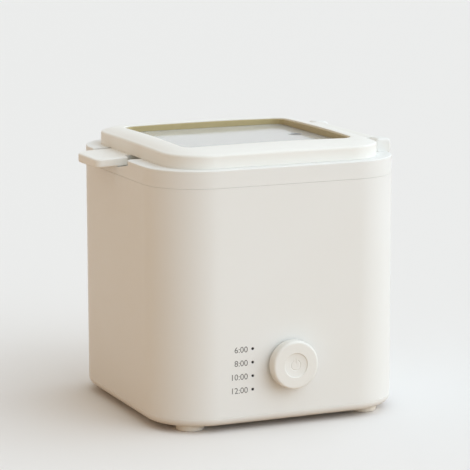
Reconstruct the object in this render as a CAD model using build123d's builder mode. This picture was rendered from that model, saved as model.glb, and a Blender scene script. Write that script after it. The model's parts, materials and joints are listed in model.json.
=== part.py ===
from build123d import *
import os

# Electric egg cooker: a square countertop steamer with a hinged window lid.
# Frame: millimetres, +Z up, -Y is the front with the knob. The origin is on the
# upright centre line of the body, in the plane of the four soles.

os.makedirs("parts", exist_ok=True)

# Driving dimensions of the body
body_half = 65.0
body_corner = 28.0
wall = 2.4
inner_half = body_half - wall
inner_corner = body_corner - wall
fit_gap = 0.1
running_gap = 0.05
lid_gap = 0.2

# Heights above the soles
base_z = 3.3
cover_top_z = 4.9
flange_top_z = 7.3
seam_z = 119.2
seam_gap = 0.3
rim_z = 127.9
ledge_thickness = 2.4
rim_fillet = 0.8
flange_seat_z = 123.4

# Housing details
base_fillet = 4.0
base_inner_fillet = 2.0
cover_recess_half = 55.0
cover_recess_corner = 18.0
base_opening_half = 42.0
base_opening_corner = 12.0
post_x = 46.6
post_y = 50.0
post_radius = 3.5
post_top_z = 20.0
screw_radius = 1.4
screw_tip_z = 17.0
rib_z = 112.8
rib_height = 2.0
rib_depth = 1.9
edge_break = 0.3

# Knob, encoder and lamps on the front
knob_z = 31.6
knob_radius = 11.9
knob_face_y = -72.1
knob_back_y = -66.4
knob_edge = 1.2
dimple_radius = 6.1
dimple_depth = 0.9
hub_radius = 5.0
hub_back_y = -65.4
hub_hole_radius = 5.6
shaft_radius = 3.0
shaft_front_y = -70.0
shaft_back_y = -55.6
encoder_front_y = -59.5
encoder_back_y = -52.5
encoder_width = 12.4
bushing_radius = 4.6
bore_back_y = -53.2
plunger_radius = 2.4
plunger_back_y = -54.2
plunger_gap = 0.05
lamp_x = -19.85
lamp_low_z = 20.29
lamp_pitch = 6.67
lamp_count = 4
lamp_radius = 0.6
guide_back_y = -60.5
guide_half_width = 2.2
guide_margin = 3.4
lamp_block = 1.6
lamp_block_depth = 1.2

# Control board behind the front wall
board_thickness = 1.6
board_left_x = -30.0
board_right_x = 18.0
board_low_z = 12.0
board_high_z = 50.0
standoff_radius = 2.5
standoff_inset = 3.2

# Chips on the back of the control board: x low, x high, z low, z high, height
board_chips = [
    (-12.0, -4.0, 26.0, 34.0, 1.2),
    (4.0, 9.0, 20.0, 26.0, 1.0),
    (-26.0, -21.0, 36.0, 46.0, 1.6),
]

# Power board on the left wall
power_board_x = -58.5
power_board_half_y = 30.0
power_board_low_z = 34.0
power_board_high_z = 72.0

# Large pieces on the power board: height off the board, y low, y high, z low, z high
power_pieces = {
    "relay": (7.0, 8.0, 20.0, 44.0, 60.0),
    "supply_transformer": (7.4, -10.0, 3.0, 42.0, 56.0),
    "filter_capacitor": (6.4, -26.0, -13.0, 46.0, 58.0),
}

# Mains inlet in the back wall
inlet_z = 20.0
inlet_flange_width = 27.0
inlet_flange_height = 16.0
inlet_flange_depth = 1.5
inlet_flange_corner = 3.0
inlet_body_width = 22.4
inlet_body_height = 12.4
inlet_back_y = 49.5
inlet_recess_width = 18.6
inlet_recess_height = 9.6
inlet_recess_depth = 13.0
inlet_pin_pitch = 8.6
inlet_pin_radius = 1.2
inlet_pin_front_y = 62.5
inlet_tail_y = 51.5
inlet_tail_drop = 1.0

# Steam chamber
chamber_half = 47.0
chamber_corner = 12.0
chamber_wall = 1.2
chamber_low_z = 20.8
chamber_floor_z = 22.0
chamber_flange_half = 54.0
chamber_flange_z = 122.2
plate_hole_radius = 32.0
boss_offset = 31.0
boss_radius = 3.2

# Heating parts, under and through the chamber floor
plate_radius = 31.0
plate_top_z = 24.0
plate_flange_radius = 38.0
plate_flange_low_z = 17.3
plate_flange_top_z = 19.8
plate_dish = 0.8
plate_dish_flare = 30.0
clamp_half = 35.5
clamp_corner = 6.0
clamp_hole_radius = 34.0
clamp_thickness = 1.2
clamp_screw_radius = 1.25
clamp_head_radius = 2.4
clamp_head_height = 1.4
element_ring_radius = 24.0
element_tube_radius = 3.0
element_gap_angle = 60.0
element_tail = 6.0
thermostat_radius = 8.0
thermostat_low_z = 11.3
blade_thickness = 0.8
blade_width = 4.0
blade_length = 3.0
sensor_x = 14.6
sensor_radius = 3.0
sensor_low_z = 13.3
fuse_y = -14.5
fuse_radius = 2.0
fuse_half_length = 6.0

# Top collar
opening_half = 50.5
opening_corner = 14.0
skirt_half = 54.0
skirt_corner = 17.5
spigot_thickness = 2.0
spigot_low_z = rib_z + rib_height
chamber_screw_offset = 47.6
chamber_screw_radius = 0.9
chamber_head_radius = 1.7
chamber_head_height = 1.0
notch_front_y = -13.5
notch_mouth_radius = 5.0
notch_overrun = 5.0
notch_back_y = 31.5
notch_floor_z = 122.9
notch_inner_x = -49.9
pan_thickness = 1.2
pan_inner_x = -54.3

# Lid
ring_half_x = 56.3
ring_half_y = 59.7
ring_corner = 19.9
ring_low_z = rim_z + lid_gap
ring_wall_z = 133.3
ring_shoulder_z = 134.9
ring_shoulder_inset = 1.5
crown_z = 136.8
window_half_x = 45.6
window_half_y = 43.1
window_corner = 7.0
crown_inset = 1.2
pane_top_z = 132.5
pane_thickness = 3.0
pane_overlap = 2.6
pane_corner = 9.0
pane_pocket_gap = 0.4
gasket_leaf = 1.0
gasket_foot = 0.8
gasket_top_z = 136.2
vent_x = 34.0
vent_y = 3.0
vent_radius = 3.3
retainer_half = 49.3
retainer_corner = 12.8
retainer_thickness = 2.2
seal_half = 49.0
seal_corner = 12.5
seal_width = 2.5
seal_low_z = 123.7
lid_screw_x = 30.0
lid_screw_y = 47.7
lid_screw_radius = 0.9
lid_screw_head_radius = 1.45
lid_screw_head_height = 1.0
lid_screw_tip_z = 132.5

# Lifting tab
tab_outer_x = -76.2
tab_inner_x = -49.6
tab_front_y = -3.2
tab_back_y = 28.6
tab_thickness = 4.2
tab_drop = 1.0
tab_front_corner = 3.5
tab_back_corner = 8.0
tab_edge = 0.9
tab_shoulder_x = -59.6
tab_root_front_y = 1.2
tab_screw_x = -53.0
tab_screw_span = 18.0
tab_screw_tip_z = 132.0

# Lid hinge along the right side
hinge_x = 61.5
hinge_z = 131.3
pin_radius = 1.5
pin_half_length = 38.5
barrel_radius = 3.2
barrel_half_length = 31.4
barrel_web_drop = 1.0
lug_inner_y = 31.7
lug_outer_y = 40.0
lug_left_x = 58.1
lug_right_x = 66.8
lug_top_z = 134.6
lug_edge = 2.2

# Egg rack
rack_half = 45.5
rack_corner = 11.0
rack_low_z = 44.0
rack_thickness = 2.0
egg_offset = 22.0
egg_hole_radius = 17.0
rack_leg_offset = 39.5
rack_leg_radius = 2.5
steam_hole_radius = 4.0
grip_x = 43.0
grip_half_width = 8.0
grip_height = 10.0
grip_thickness = 2.0

# Feet and base cover
foot_radius = 7.0
foot_edge = 0.8
foot_recess_radius = 3.2
foot_recess_z = 1.6
base_head_radius = 2.6
base_head_height = 1.4
vent_slot_length = 22.0
vent_slot_width = 2.0
vent_slot_pitch = 6.0
vent_slot_count = 5

# Wires
wire_radius = 1.0
wire_bend = 3.2
cable_bend = 3.0
link_bend = 14.0
wire_low_z = 8.6
neutral_run_y = 39.0
neutral_end_y = 27.0
live_run_y = 42.5
live_end_z = 44.0
heater_wire_z = 9.8
heater_return_y = 12.0
link_z = 44.0


def rounded(half_x, half_y, corner, height):
    """Gives a rounded rectangle about the centre line, lying flat at a height."""
    with BuildSketch(Plane.XY.offset(height)) as outline:
        RectangleRounded(2 * half_x, 2 * half_y, corner)
    return outline.sketch


def disc(radius, x, y, height):
    """Gives a flat circle at a point and height."""
    with BuildSketch(Plane.XY.offset(height)) as outline:
        with Locations((x, y)):
            Circle(radius)
    return outline.sketch


def discs(radius, points, height):
    """Gives flat circles at several points of one height."""
    with BuildSketch(Plane.XY.offset(height)) as outline:
        with Locations(*points):
            Circle(radius)
    return outline.sketch


def front_disc(radius, x, z, y):
    """Gives a circle that faces the front, at depth y."""
    with BuildSketch(Plane((x, y, z), x_dir=(1, 0, 0), z_dir=(0, -1, 0))) as outline:
        Circle(radius)
    return outline.sketch


def upright_block(x_low, x_high, y_low, y_high, z_low, z_high, mode=Mode.PRIVATE):
    """Gives a box between two corners."""
    box = Box(x_high - x_low, y_high - y_low, z_high - z_low, align=Align.MIN, mode=mode)
    return Pos(x_low, y_low, z_low) * box


def tube_along(points, radius, bend):
    """Gives a round wire that follows straight runs joined by arcs."""
    with BuildPart() as wire:
        with BuildLine() as route:
            FilletPolyline(*points, radius=bend)
        start = route.line @ 0
        with BuildSketch(Plane(start, z_dir=route.line % 0)):
            Circle(radius)
        sweep(path=route.line)
    return wire.part


four_posts = [(x, y) for x in (-post_x, post_x) for y in (-post_y, post_y)]
four_bosses = [(x, y) for x in (-boss_offset, boss_offset) for y in (-boss_offset, boss_offset)]
lamp_heights = [lamp_low_z + lamp_pitch * step for step in range(lamp_count)]

# Outer housing: filleted tub with a stepped floor flange, corner posts, a rib that
# carries the collar, board standoffs, and the openings for knob, lamps and inlet
board_front_y = encoder_back_y
board_corners = [
    (x, z)
    for x in (board_left_x + standoff_inset, board_right_x - standoff_inset)
    for z in (board_low_z + standoff_inset, board_high_z - standoff_inset)
]
power_corners = [
    (y, z)
    for y in (-power_board_half_y + standoff_inset, power_board_half_y - standoff_inset)
    for z in (power_board_low_z + standoff_inset, power_board_high_z - standoff_inset)
]
housing_top_z = seam_z - seam_gap / 2

with BuildPart() as outer_housing:
    extrude(rounded(body_half, body_half, body_corner, base_z), amount=housing_top_z - base_z)
    fillet(outer_housing.faces().sort_by(Axis.Z)[0].edges(), base_fillet)
    with BuildPart(mode=Mode.PRIVATE) as hollow:
        extrude(
            rounded(inner_half, inner_half, inner_corner, flange_top_z),
            amount=housing_top_z - flange_top_z,
        )
        fillet(hollow.faces().sort_by(Axis.Z)[0].edges(), base_inner_fillet)
    add(hollow.part, mode=Mode.SUBTRACT)
    extrude(
        rounded(cover_recess_half, cover_recess_half, cover_recess_corner, base_z),
        amount=cover_top_z - base_z,
        mode=Mode.SUBTRACT,
    )
    extrude(
        rounded(base_opening_half, base_opening_half, base_opening_corner, cover_top_z),
        amount=flange_top_z - cover_top_z,
        mode=Mode.SUBTRACT,
    )
    extrude(discs(post_radius, four_posts, flange_top_z), amount=post_top_z - flange_top_z)
    extrude(
        discs(screw_radius + fit_gap, four_posts, cover_top_z),
        amount=screw_tip_z + fit_gap - cover_top_z,
        mode=Mode.SUBTRACT,
    )
    extrude(rounded(inner_half, inner_half, inner_corner, rib_z), amount=rib_height)
    extrude(
        rounded(inner_half - rib_depth, inner_half - rib_depth, inner_corner - rib_depth, rib_z),
        amount=rib_height,
        mode=Mode.SUBTRACT,
    )
    extrude(
        front_disc(hub_hole_radius, 0, knob_z, -inner_half),
        amount=wall,
        mode=Mode.SUBTRACT,
    )
    for height in lamp_heights:
        extrude(
            front_disc(lamp_radius + running_gap, lamp_x, height, -inner_half),
            amount=wall,
            mode=Mode.SUBTRACT,
        )
    for x, z in board_corners:
        extrude(front_disc(standoff_radius, x, z, board_front_y), amount=inner_half + board_front_y)
    with BuildSketch(Plane.YZ.offset(-inner_half)):
        with Locations(*power_corners):
            Circle(standoff_radius)
    extrude(amount=inner_half + power_board_x)
    with BuildSketch(Plane.XZ.offset(-body_half)):
        with Locations((0, inlet_z)):
            Rectangle(inlet_body_width + 2 * fit_gap, inlet_body_height + 2 * fit_gap)
    extrude(amount=wall, mode=Mode.SUBTRACT)
outer_housing.part.label = "outer_housing"
export_step(outer_housing.part, "parts/outer_housing.step")

# Base cover: flush plate with slots for air and a hole over each foot
with BuildPart() as base_cover:
    cover_half = cover_recess_half - fit_gap
    extrude(
        rounded(cover_half, cover_half, cover_recess_corner - fit_gap, base_z),
        amount=cover_top_z - base_z,
    )
    with BuildSketch(Plane.XY.offset(base_z)):
        with GridLocations(vent_slot_length + vent_slot_pitch, vent_slot_pitch, 2, vent_slot_count):
            SlotOverall(vent_slot_length, vent_slot_width)
    extrude(amount=cover_top_z - base_z, mode=Mode.SUBTRACT)
    extrude(
        discs(screw_radius + fit_gap, four_posts, base_z),
        amount=cover_top_z - base_z,
        mode=Mode.SUBTRACT,
    )
base_cover.part.label = "base_cover"
export_step(base_cover.part, "parts/base_cover.step")

# Base screws: one group, up through the cover into the corner posts
with BuildPart() as base_screws:
    extrude(discs(base_head_radius, four_posts, base_z - base_head_height), amount=base_head_height)
    extrude(discs(screw_radius, four_posts, base_z), amount=screw_tip_z - base_z)
base_screws.part.label = "base_screws"
export_step(base_screws.part, "parts/base_screws.step")

# Feet: round pads, hollow over the screw heads
foot_names = {
    "foot_front_left": (-post_x, -post_y),
    "foot_front_right": (post_x, -post_y),
    "foot_rear_left": (-post_x, post_y),
    "foot_rear_right": (post_x, post_y),
}
for foot_name, (foot_x, foot_y) in foot_names.items():
    with BuildPart() as foot:
        extrude(disc(foot_radius, foot_x, foot_y, 0), amount=base_z)
        fillet(foot.faces().sort_by(Axis.Z)[0].edges(), foot_edge)
        extrude(
            disc(foot_recess_radius, foot_x, foot_y, foot_recess_z),
            amount=base_z - foot_recess_z,
            mode=Mode.SUBTRACT,
        )
    foot.part.label = foot_name
    export_step(foot.part, f"parts/{foot_name}.step")

# Top collar: band, spigot, ledge and skirt, with the notch for the tab and two lugs
collar_low_z = seam_z + seam_gap / 2
ledge_low_z = rim_z - ledge_thickness
spigot_half = inner_half - fit_gap
spigot_corner = inner_corner - fit_gap
chamber_screws_at = [
    (x, y)
    for x in (-chamber_screw_offset, chamber_screw_offset)
    for y in (-chamber_screw_offset, chamber_screw_offset)
]

with BuildPart() as top_collar:
    extrude(rounded(body_half, body_half, body_corner, collar_low_z), amount=rim_z - collar_low_z)
    fillet(top_collar.faces().sort_by(Axis.Z)[-1].edges(), rim_fillet)
    extrude(
        rounded(inner_half, inner_half, inner_corner, collar_low_z),
        amount=ledge_low_z - collar_low_z,
        mode=Mode.SUBTRACT,
    )
    extrude(
        rounded(spigot_half, spigot_half, spigot_corner, spigot_low_z),
        amount=ledge_low_z - spigot_low_z,
    )
    extrude(
        rounded(
            spigot_half - spigot_thickness,
            spigot_half - spigot_thickness,
            spigot_corner - spigot_thickness,
            spigot_low_z,
        ),
        amount=ledge_low_z - spigot_low_z,
        mode=Mode.SUBTRACT,
    )
    with BuildSketch(Plane.XY.offset(collar_low_z)):
        RectangleRounded(2 * inner_half, 2 * inner_half, inner_corner)
        RectangleRounded(
            2 * (spigot_half - spigot_thickness),
            2 * (spigot_half - spigot_thickness),
            spigot_corner - spigot_thickness,
            mode=Mode.SUBTRACT,
        )
    extrude(amount=ledge_low_z - collar_low_z)
    extrude(rounded(skirt_half, skirt_half, skirt_corner, flange_seat_z), amount=ledge_low_z - flange_seat_z)
    extrude(
        rounded(opening_half, opening_half, opening_corner, flange_seat_z),
        amount=rim_z - flange_seat_z,
        mode=Mode.SUBTRACT,
    )
    extrude(
        discs(chamber_screw_radius + fit_gap, chamber_screws_at, flange_seat_z),
        amount=ledge_low_z - flange_seat_z + fit_gap,
        mode=Mode.SUBTRACT,
    )
    add(
        upright_block(
            -inner_half - edge_break,
            pan_inner_x,
            notch_front_y - pan_thickness,
            notch_back_y + pan_thickness,
            notch_floor_z - pan_thickness,
            ledge_low_z,
        )
    )
    with BuildSketch(Plane.XY.offset(notch_floor_z)):
        mouth_x = -body_half + notch_mouth_radius
        mouth_y = notch_front_y - notch_mouth_radius
        with BuildLine():
            CenterArc((mouth_x, mouth_y), notch_mouth_radius, 90, 90)
            Polyline(
                (mouth_x, notch_front_y),
                (notch_inner_x, notch_front_y),
                (notch_inner_x, notch_back_y),
                (-body_half - notch_overrun, notch_back_y),
                (-body_half - notch_overrun, mouth_y),
                (-body_half, mouth_y),
            )
        make_face()
    extrude(amount=rim_z - notch_floor_z, mode=Mode.SUBTRACT)
    for side in (-1, 1):
        low_y = min(side * lug_inner_y, side * lug_outer_y)
        with BuildPart(mode=Mode.PRIVATE) as lug:
            add(
                upright_block(
                    lug_left_x,
                    lug_right_x,
                    low_y,
                    low_y + lug_outer_y - lug_inner_y,
                    rim_z - ledge_thickness / 2,
                    lug_top_z,
                )
            )
            fillet(lug.faces().sort_by(Axis.Z)[-1].edges().filter_by(Axis.Y), lug_edge)
        add(lug.part)
    with BuildSketch(Plane.XZ):
        with Locations((hinge_x, hinge_z)):
            Circle(pin_radius + running_gap)
    extrude(amount=pin_half_length, both=True, mode=Mode.SUBTRACT)
top_collar.part.label = "top_collar"
export_step(top_collar.part, "parts/top_collar.step")

# Hinge pin: steel rod held in the two lugs
with BuildPart() as hinge_pin:
    with BuildSketch(Plane.XZ):
        with Locations((hinge_x, hinge_z)):
            Circle(pin_radius)
    extrude(amount=pin_half_length, both=True)
hinge_pin.part.label = "hinge_pin"
export_step(hinge_pin.part, "parts/hinge_pin.step")

# Steam chamber: drawn pot with a hanging flange, a plate hole and four screw bosses
chamber_outer = chamber_half + chamber_wall
with BuildPart() as steam_chamber:
    extrude(
        rounded(chamber_outer, chamber_outer, chamber_corner + chamber_wall, chamber_low_z),
        amount=flange_seat_z - chamber_low_z,
    )
    extrude(
        rounded(chamber_flange_half, chamber_flange_half, skirt_corner, chamber_flange_z),
        amount=flange_seat_z - chamber_flange_z,
    )
    extrude(
        rounded(chamber_half, chamber_half, chamber_corner, chamber_floor_z),
        amount=flange_seat_z - chamber_floor_z,
        mode=Mode.SUBTRACT,
    )
    extrude(
        disc(plate_hole_radius, 0, 0, chamber_low_z),
        amount=chamber_floor_z - chamber_low_z,
        mode=Mode.SUBTRACT,
    )
    extrude(
        discs(boss_radius, four_bosses, plate_flange_low_z),
        amount=chamber_low_z - plate_flange_low_z,
    )
    extrude(
        discs(clamp_screw_radius + fit_gap, four_bosses, plate_flange_low_z),
        amount=chamber_low_z - plate_flange_low_z,
        mode=Mode.SUBTRACT,
    )
    extrude(
        discs(chamber_screw_radius + fit_gap, chamber_screws_at, chamber_flange_z),
        amount=flange_seat_z - chamber_flange_z,
        mode=Mode.SUBTRACT,
    )
steam_chamber.part.label = "steam_chamber"
export_step(steam_chamber.part, "parts/steam_chamber.step")

# Chamber screws: one group, up through the flange into the collar
with BuildPart() as chamber_screws:
    extrude(
        discs(chamber_head_radius, chamber_screws_at, chamber_flange_z - chamber_head_height),
        amount=chamber_head_height,
    )
    extrude(
        discs(chamber_screw_radius, chamber_screws_at, chamber_flange_z),
        amount=ledge_low_z - chamber_flange_z,
    )
chamber_screws.part.label = "chamber_screws"
export_step(chamber_screws.part, "parts/chamber_screws.step")

# Heating plate: cast disc with a flange under the floor and a shallow dish on top
with BuildPart() as heating_plate:
    extrude(
        disc(plate_flange_radius, 0, 0, plate_flange_low_z),
        amount=plate_flange_top_z - plate_flange_low_z,
    )
    extrude(disc(plate_radius, 0, 0, plate_flange_top_z), amount=plate_top_z - plate_flange_top_z)
    fillet(heating_plate.faces().sort_by(Axis.Z)[-1].edges(), plate_dish)
    extrude(
        disc(plate_radius - 2 * plate_dish, 0, 0, plate_top_z - plate_dish),
        amount=plate_dish,
        taper=-plate_dish_flare,
        mode=Mode.SUBTRACT,
    )
    for x, y in four_bosses:
        extrude(
            disc(boss_radius + fit_gap, x, y, plate_flange_low_z),
            amount=plate_flange_top_z - plate_flange_low_z,
            mode=Mode.SUBTRACT,
        )
heating_plate.part.label = "heating_plate"
export_step(heating_plate.part, "parts/heating_plate.step")

# Plate seal: flat silicone ring between plate flange and chamber floor
with BuildPart() as plate_seal:
    with BuildSketch(Plane.XY.offset(plate_flange_top_z)):
        Circle(plate_flange_radius)
        Circle(plate_radius + fit_gap, mode=Mode.SUBTRACT)
        with Locations(*four_bosses):
            Circle(boss_radius + fit_gap, mode=Mode.SUBTRACT)
    extrude(amount=chamber_low_z - plate_flange_top_z)
plate_seal.part.label = "plate_seal"
export_step(plate_seal.part, "parts/plate_seal.step")

# Plate clamp: pressed steel square that pulls the plate up against its seal
with BuildPart() as plate_clamp:
    extrude(
        rounded(clamp_half, clamp_half, clamp_corner, plate_flange_low_z - clamp_thickness),
        amount=clamp_thickness,
    )
    extrude(
        disc(clamp_hole_radius, 0, 0, plate_flange_low_z - clamp_thickness),
        amount=clamp_thickness,
        mode=Mode.SUBTRACT,
    )
    extrude(
        discs(clamp_screw_radius + fit_gap, four_bosses, plate_flange_low_z - clamp_thickness),
        amount=clamp_thickness,
        mode=Mode.SUBTRACT,
    )
plate_clamp.part.label = "plate_clamp"
export_step(plate_clamp.part, "parts/plate_clamp.step")

# Clamp screws: one group
with BuildPart() as clamp_screws:
    clamp_low_z = plate_flange_low_z - clamp_thickness
    extrude(
        discs(clamp_head_radius, four_bosses, clamp_low_z - clamp_head_height),
        amount=clamp_head_height,
    )
    extrude(discs(clamp_screw_radius, four_bosses, clamp_low_z), amount=chamber_low_z - clamp_low_z)
clamp_screws.part.label = "clamp_screws"
export_step(clamp_screws.part, "parts/clamp_screws.step")

# Heating element: open tube ring under the plate, its cold ends turned down
element_z = plate_flange_low_z - element_tube_radius
half_gap = element_gap_angle / 2
with BuildPart() as heating_element:
    with BuildLine() as element_path:
        CenterArc((0, 0, element_z), element_ring_radius, 90 + half_gap, 360 - element_gap_angle)
    with BuildSketch(Plane(element_path.line @ 0, z_dir=element_path.line % 0)):
        Circle(element_tube_radius)
    sweep(path=element_path.line)
    element_ends = [element_path.line @ 0, element_path.line @ 1]
    extrude(
        discs(element_tube_radius / 2, [(end.X, end.Y) for end in element_ends], element_z - element_tail),
        amount=element_tail,
    )
heating_element.part.label = "heating_element"
export_step(heating_element.part, "parts/heating_element.step")

# Thermostat: snap disc with a flange and two blade terminals
with BuildPart() as thermostat:
    extrude(disc(thermostat_radius, 0, 0, thermostat_low_z), amount=plate_flange_low_z - thermostat_low_z)
    chamfer(thermostat.faces().sort_by(Axis.Z)[0].edges(), edge_break)
    for side in (-1, 1):
        add(
            upright_block(
                (side * thermostat_radius - blade_thickness) / 2,
                (side * thermostat_radius + blade_thickness) / 2,
                -blade_width / 2,
                blade_width / 2,
                thermostat_low_z - blade_length,
                thermostat_low_z,
            )
        )
thermostat.part.label = "thermostat"
export_step(thermostat.part, "parts/thermostat.step")

# Temperature sensor: small can pressed on the plate
with BuildPart() as temperature_sensor:
    extrude(disc(sensor_radius, sensor_x, 0, sensor_low_z), amount=plate_flange_low_z - sensor_low_z)
    fillet(temperature_sensor.faces().sort_by(Axis.Z)[0].edges(), 2 * edge_break)
temperature_sensor.part.label = "temperature_sensor"
export_step(temperature_sensor.part, "parts/temperature_sensor.step")

# Thermal fuse: small lying cylinder under the plate
with BuildPart() as thermal_fuse:
    with BuildSketch(Plane.YZ):
        with Locations((fuse_y, plate_flange_low_z - fuse_radius)):
            Circle(fuse_radius)
    extrude(amount=fuse_half_length, both=True)
thermal_fuse.part.label = "thermal_fuse"
export_step(thermal_fuse.part, "parts/thermal_fuse.step")

# Control board with its chip blocks
with BuildPart() as control_board:
    add(
        upright_block(
            board_left_x,
            board_right_x,
            board_front_y,
            board_front_y + board_thickness,
            board_low_z,
            board_high_z,
        )
    )
    board_back_y = board_front_y + board_thickness
    for x_low, x_high, z_low, z_high, chip_height in board_chips:
        add(upright_block(x_low, x_high, board_back_y, board_back_y + chip_height, z_low, z_high))
control_board.part.label = "control_board"
export_step(control_board.part, "parts/control_board.step")

# Indicator lamps: four small blocks on the board behind the light guide
with BuildPart() as indicator_lamps:
    for height in lamp_heights:
        add(
            upright_block(
                lamp_x - lamp_block / 2,
                lamp_x + lamp_block / 2,
                board_front_y - lamp_block_depth,
                board_front_y,
                height - lamp_block / 2,
                height + lamp_block / 2,
            )
        )
indicator_lamps.part.label = "indicator_lamps"
export_step(indicator_lamps.part, "parts/indicator_lamps.step")

# Light guide: four round windows on a bar that stands on the board
guide_low_z = lamp_heights[0] - guide_margin
guide_high_z = lamp_heights[-1] + guide_margin
with BuildPart() as light_guide:
    add(
        upright_block(
            lamp_x - guide_half_width,
            lamp_x + guide_half_width,
            -inner_half,
            guide_back_y,
            guide_low_z,
            guide_high_z,
        )
    )
    for height in lamp_heights:
        extrude(front_disc(lamp_radius, lamp_x, height, -inner_half), amount=wall)
    for leg_z in (guide_low_z, guide_high_z - lamp_block):
        add(
            upright_block(
                lamp_x - guide_half_width,
                lamp_x + guide_half_width,
                guide_back_y,
                board_front_y,
                leg_z,
                leg_z + lamp_block,
            )
        )
light_guide.part.label = "light_guide"
export_step(light_guide.part, "parts/light_guide.step")

# Encoder body: square can with a round bushing and a blind bore
with BuildPart() as encoder_body:
    add(
        upright_block(
            -encoder_width / 2,
            encoder_width / 2,
            encoder_front_y,
            encoder_back_y,
            knob_z - encoder_width / 2,
            knob_z + encoder_width / 2,
        )
    )
    extrude(front_disc(bushing_radius, 0, knob_z, encoder_front_y), amount=inner_half + encoder_front_y)
    extrude(
        front_disc(shaft_radius + running_gap, 0, knob_z, bore_back_y),
        amount=inner_half + bore_back_y,
        mode=Mode.SUBTRACT,
    )
encoder_body.part.label = "encoder_body"
export_step(encoder_body.part, "parts/encoder_body.step")

# Switch plunger: the piece that travels in and out with the knob but doesn't turn
with BuildPart() as switch_plunger:
    extrude(
        front_disc(plunger_radius, 0, knob_z, plunger_back_y),
        amount=plunger_back_y - shaft_back_y - plunger_gap,
    )
switch_plunger.part.label = "switch_plunger"
export_step(switch_plunger.part, "parts/switch_plunger.step")

# Encoder shaft: round rod with a flat for the knob
with BuildPart() as encoder_shaft:
    extrude(front_disc(shaft_radius, 0, knob_z, shaft_back_y), amount=shaft_back_y - shaft_front_y)
    add(
        upright_block(
            -shaft_radius,
            shaft_radius,
            shaft_front_y,
            hub_back_y,
            knob_z + shaft_radius / 2,
            knob_z + shaft_radius,
        ),
        mode=Mode.SUBTRACT,
    )
encoder_shaft.part.label = "encoder_shaft"
export_step(encoder_shaft.part, "parts/encoder_shaft.step")

# Knob: rounded disc with a shallow dimple, a hub and a flatted socket
dimple_sphere = (dimple_radius**2 + dimple_depth**2) / (2 * dimple_depth)
with BuildPart() as knob:
    extrude(front_disc(knob_radius, 0, knob_z, knob_back_y), amount=knob_back_y - knob_face_y)
    fillet(knob.faces().sort_by(Axis.Y)[0].edges(), knob_edge)
    extrude(front_disc(hub_radius, 0, knob_z, hub_back_y), amount=hub_back_y - knob_back_y)
    with Locations((0, knob_face_y + dimple_depth - dimple_sphere, knob_z)):
        Sphere(dimple_sphere, mode=Mode.SUBTRACT)
    extrude(
        front_disc(shaft_radius + running_gap, 0, knob_z, hub_back_y),
        amount=hub_back_y - shaft_front_y,
        mode=Mode.SUBTRACT,
    )
    add(
        upright_block(
            -shaft_radius,
            shaft_radius,
            shaft_front_y,
            hub_back_y,
            knob_z + shaft_radius / 2 + running_gap,
            knob_z + shaft_radius + fit_gap,
        )
    )
knob.part.label = "knob"
export_step(knob.part, "parts/knob.step")

# Power board on the left wall, with its larger components as separate pieces
power_face_x = power_board_x + board_thickness
with BuildPart() as power_board:
    add(
        upright_block(
            power_board_x,
            power_face_x,
            -power_board_half_y,
            power_board_half_y,
            power_board_low_z,
            power_board_high_z,
        )
    )
power_board.part.label = "power_board"
export_step(power_board.part, "parts/power_board.step")

for piece_name, (depth, y_low, y_high, z_low, z_high) in power_pieces.items():
    with BuildPart() as power_piece:
        add(upright_block(power_face_x, power_face_x + depth, y_low, y_high, z_low, z_high))
        chamfer(power_piece.faces().sort_by(Axis.X)[-1].edges(), 2 * edge_break)
    power_piece.part.label = piece_name
    export_step(power_piece.part, f"parts/{piece_name}.step")

# Mains inlet: flanged socket with a deep round-ended recess
inlet_face_y = body_half + inlet_flange_depth
inlet_plane = Plane.XZ.offset(-body_half)
with BuildPart() as power_inlet:
    with BuildSketch(inlet_plane):
        with Locations((0, inlet_z)):
            RectangleRounded(inlet_flange_width, inlet_flange_height, inlet_flange_corner)
    extrude(amount=-inlet_flange_depth)
    with BuildSketch(inlet_plane):
        with Locations((0, inlet_z)):
            Rectangle(inlet_body_width, inlet_body_height)
    extrude(amount=body_half - inlet_back_y)
    with BuildSketch(Plane.XZ.offset(-inlet_face_y)):
        with Locations((0, inlet_z)):
            RectangleRounded(inlet_recess_width, inlet_recess_height, inlet_recess_height / 2 - fit_gap)
    extrude(amount=inlet_recess_depth, mode=Mode.SUBTRACT)
    pin_floor_y = inlet_face_y - inlet_recess_depth
    for side in (-1, 1):
        extrude(
            front_disc(inlet_pin_radius + fit_gap / 2, side * inlet_pin_pitch / 2, inlet_z, pin_floor_y),
            amount=pin_floor_y - inlet_tail_y + inlet_pin_radius,
            mode=Mode.SUBTRACT,
        )
        extrude(
            disc(inlet_pin_radius + fit_gap / 2, side * inlet_pin_pitch / 2, inlet_tail_y, inlet_z),
            amount=-inlet_body_height,
            mode=Mode.SUBTRACT,
        )
power_inlet.part.label = "power_inlet"
export_step(power_inlet.part, "parts/power_inlet.step")

# Inlet pins: two round pins whose tails turn down for the wires
tail_low_z = inlet_z - inlet_body_height / 2 - inlet_tail_drop
with BuildPart() as inlet_pins:
    for side in (-1, 1):
        extrude(
            front_disc(inlet_pin_radius, side * inlet_pin_pitch / 2, inlet_z, inlet_pin_front_y),
            amount=inlet_pin_front_y - inlet_tail_y + inlet_pin_radius,
        )
        extrude(
            disc(inlet_pin_radius, side * inlet_pin_pitch / 2, inlet_tail_y, tail_low_z),
            amount=inlet_z - tail_low_z,
        )
inlet_pins.part.label = "inlet_pins"
export_step(inlet_pins.part, "parts/inlet_pins.step")

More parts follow.
